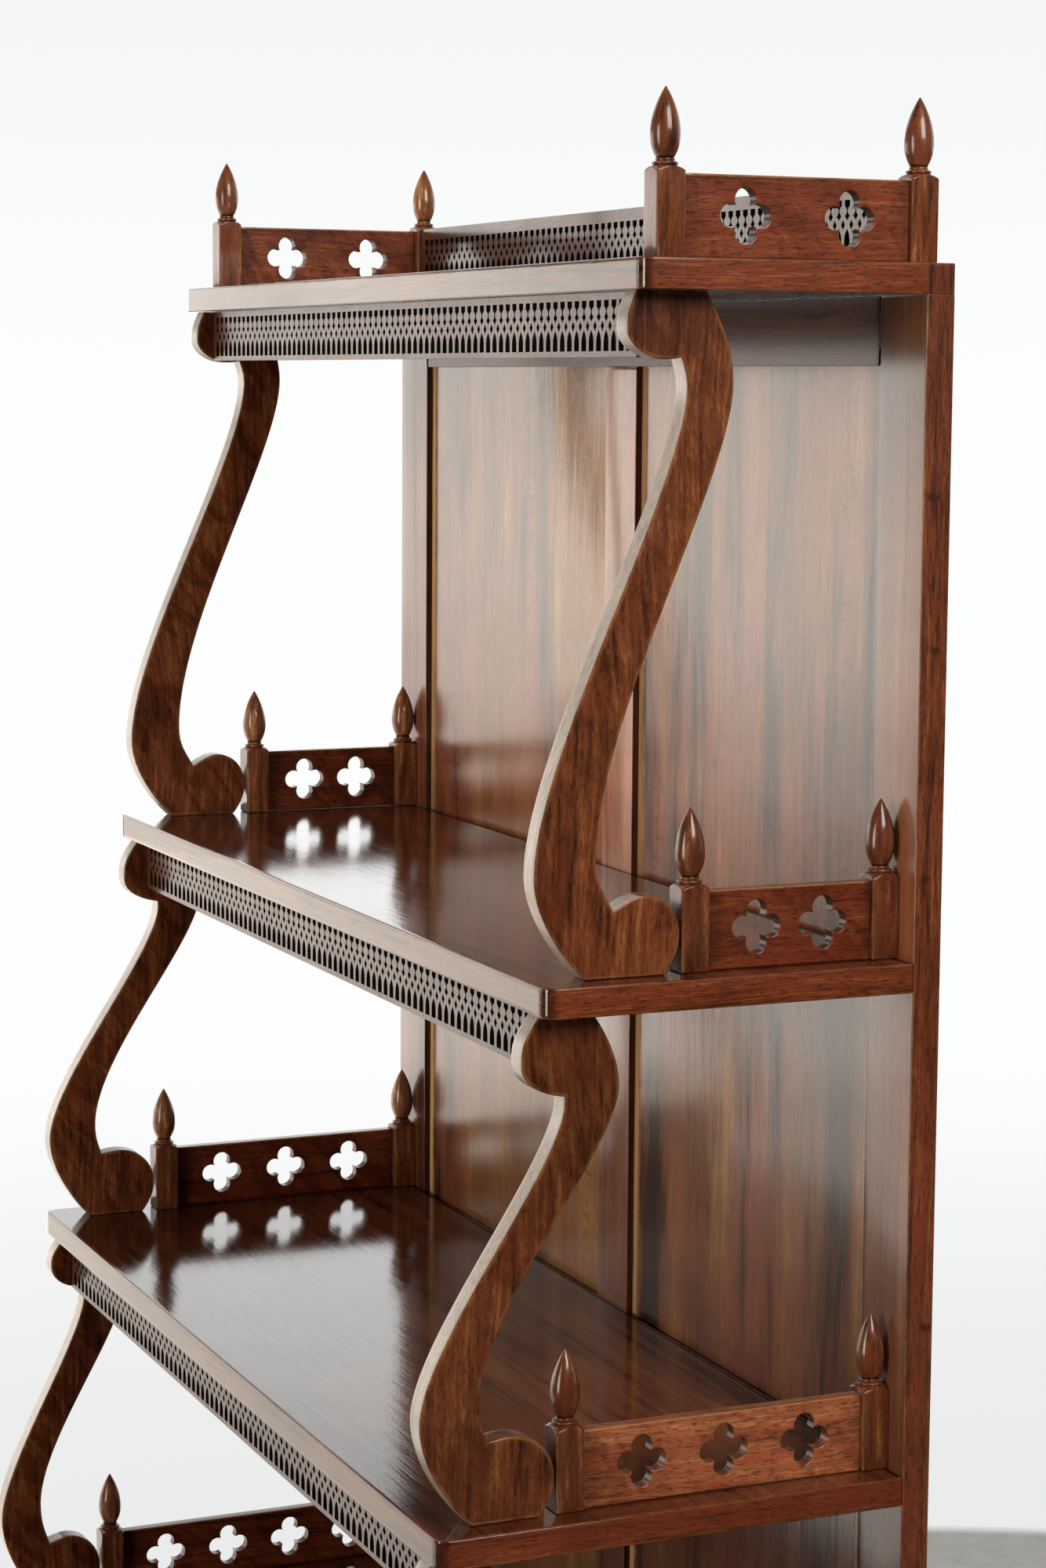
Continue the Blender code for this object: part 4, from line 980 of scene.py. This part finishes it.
def makeFloor():
    # pale floor round the case, white further out; all of it is dull as a source of light
    half = studio["floor"] / 2
    mesh = bpy.data.meshes.new("floor")
    mesh.from_pydata([(x, y, 0.0) for x, y in rectangle(-half, -half, half, half)], [], [(0, 1, 2, 3)])
    floor = bpy.data.objects.new("floor", mesh)
    bpy.context.scene.collection.objects.link(floor)
    paint = bpy.data.materials.new("floorPaint")
    paint.use_nodes = True
    shade = Shade(paint.node_tree)
    near = paint.node_tree.nodes["Principled BSDF"]
    near.inputs["Roughness"].default_value = studio["floorRough"]
    place = shade.add("TexCoord", {}, "Object")
    speckle = shade.between(shade.noise(place, 40.0, 4.0, 0.6), 0.3, 0.7)
    shade.feed(near.inputs["Base Color"], shade.mix(speckle, *studio["floorTones"]))
    away = shade.vector("DISTANCE", place, studio["floorMiddle"], "Value")
    paler = shade.between(away, *studio["floorPaler"])
    white = shade.add("Emission", {"Color": studio["white"], "Strength": paler})
    fade = shade.between(away, *studio["floorFade"])
    seen = shade.add("MixShader", {0: fade, 1: Val(shade, near.outputs[0]), 2: white})
    dull = shade.add("BsdfDiffuse", {"Color": studio["floorLight"]})
    shade.feed(paint.node_tree.nodes["Material Output"].inputs["Surface"], shade.split(dull, seen))
    mesh.materials.append(paint)


def makeWorld():
    # white to the eye, greying higher up as a painted shade of the backdrop; as light it is white behind
    # the case and dim on the side of the camera
    world = bpy.data.worlds.new("studio")
    bpy.context.scene.world = world
    world.use_nodes = True
    shade = Shade(world.node_tree)
    way = shade.add("TexCoord", {}, "Generated")
    facing = shade.vector("DOT_PRODUCT", way, studio["backSide"], "Value")
    glow = shade.add("ValToRGB", {0: facing * 0.5 + 0.5}, stops=studio["skyStops"])
    height = shade.add("SeparateXYZ", {0: way}, "Z")
    strength = shade.between(height, *studio["skyStrength"])
    light = shade.add("Background", {"Color": glow, "Strength": strength})
    # the backdrop greys higher up: painted shade
    wall = shade.mix(shade.between(height, *studio["wallShadeRise"]), studio["white"], studio["wall"])
    seen = shade.add("Background", {"Color": wall, "Strength": 1.0})
    shade.feed(world.node_tree.nodes["World Output"].inputs["Surface"], shade.split(light, seen))


def makeLamp(name, lamp):
    lamp = {**plainLamp, **lamp}
    light = bpy.data.lights.new(name, "AREA")
    light.shape = "RECTANGLE"
    light.size, light.size_y = lamp["sides"]
    light.spread = math.radians(lamp["spread"])
    half = light.spread / 2
    narrow = 1.0 - half / math.tan(half)  # keeps the glow as the spread closes
    light.energy = lamp["glow"] * math.pi * light.size * light.size_y * narrow
    light.color = lamp["tint"]
    piece = bpy.data.objects.new(name, light)
    piece.location = lamp["place"]
    piece.rotation_euler = Vector(lamp["way"]).to_track_quat("-Z", "Y").to_euler()
    if "turn" in lamp:
        piece.rotation_euler = (math.pi, 0.0, math.radians(lamp["turn"]))  # flat on the floor, facing up
    piece.visible_camera = False
    bpy.context.scene.collection.objects.link(piece)


makeCamera()
makeFloor()
makeWorld()
for name, lamp in lamps.items():
    makeLamp(name, lamp)
bpy.context.scene.view_settings.view_transform = "Standard"
print("studio made")
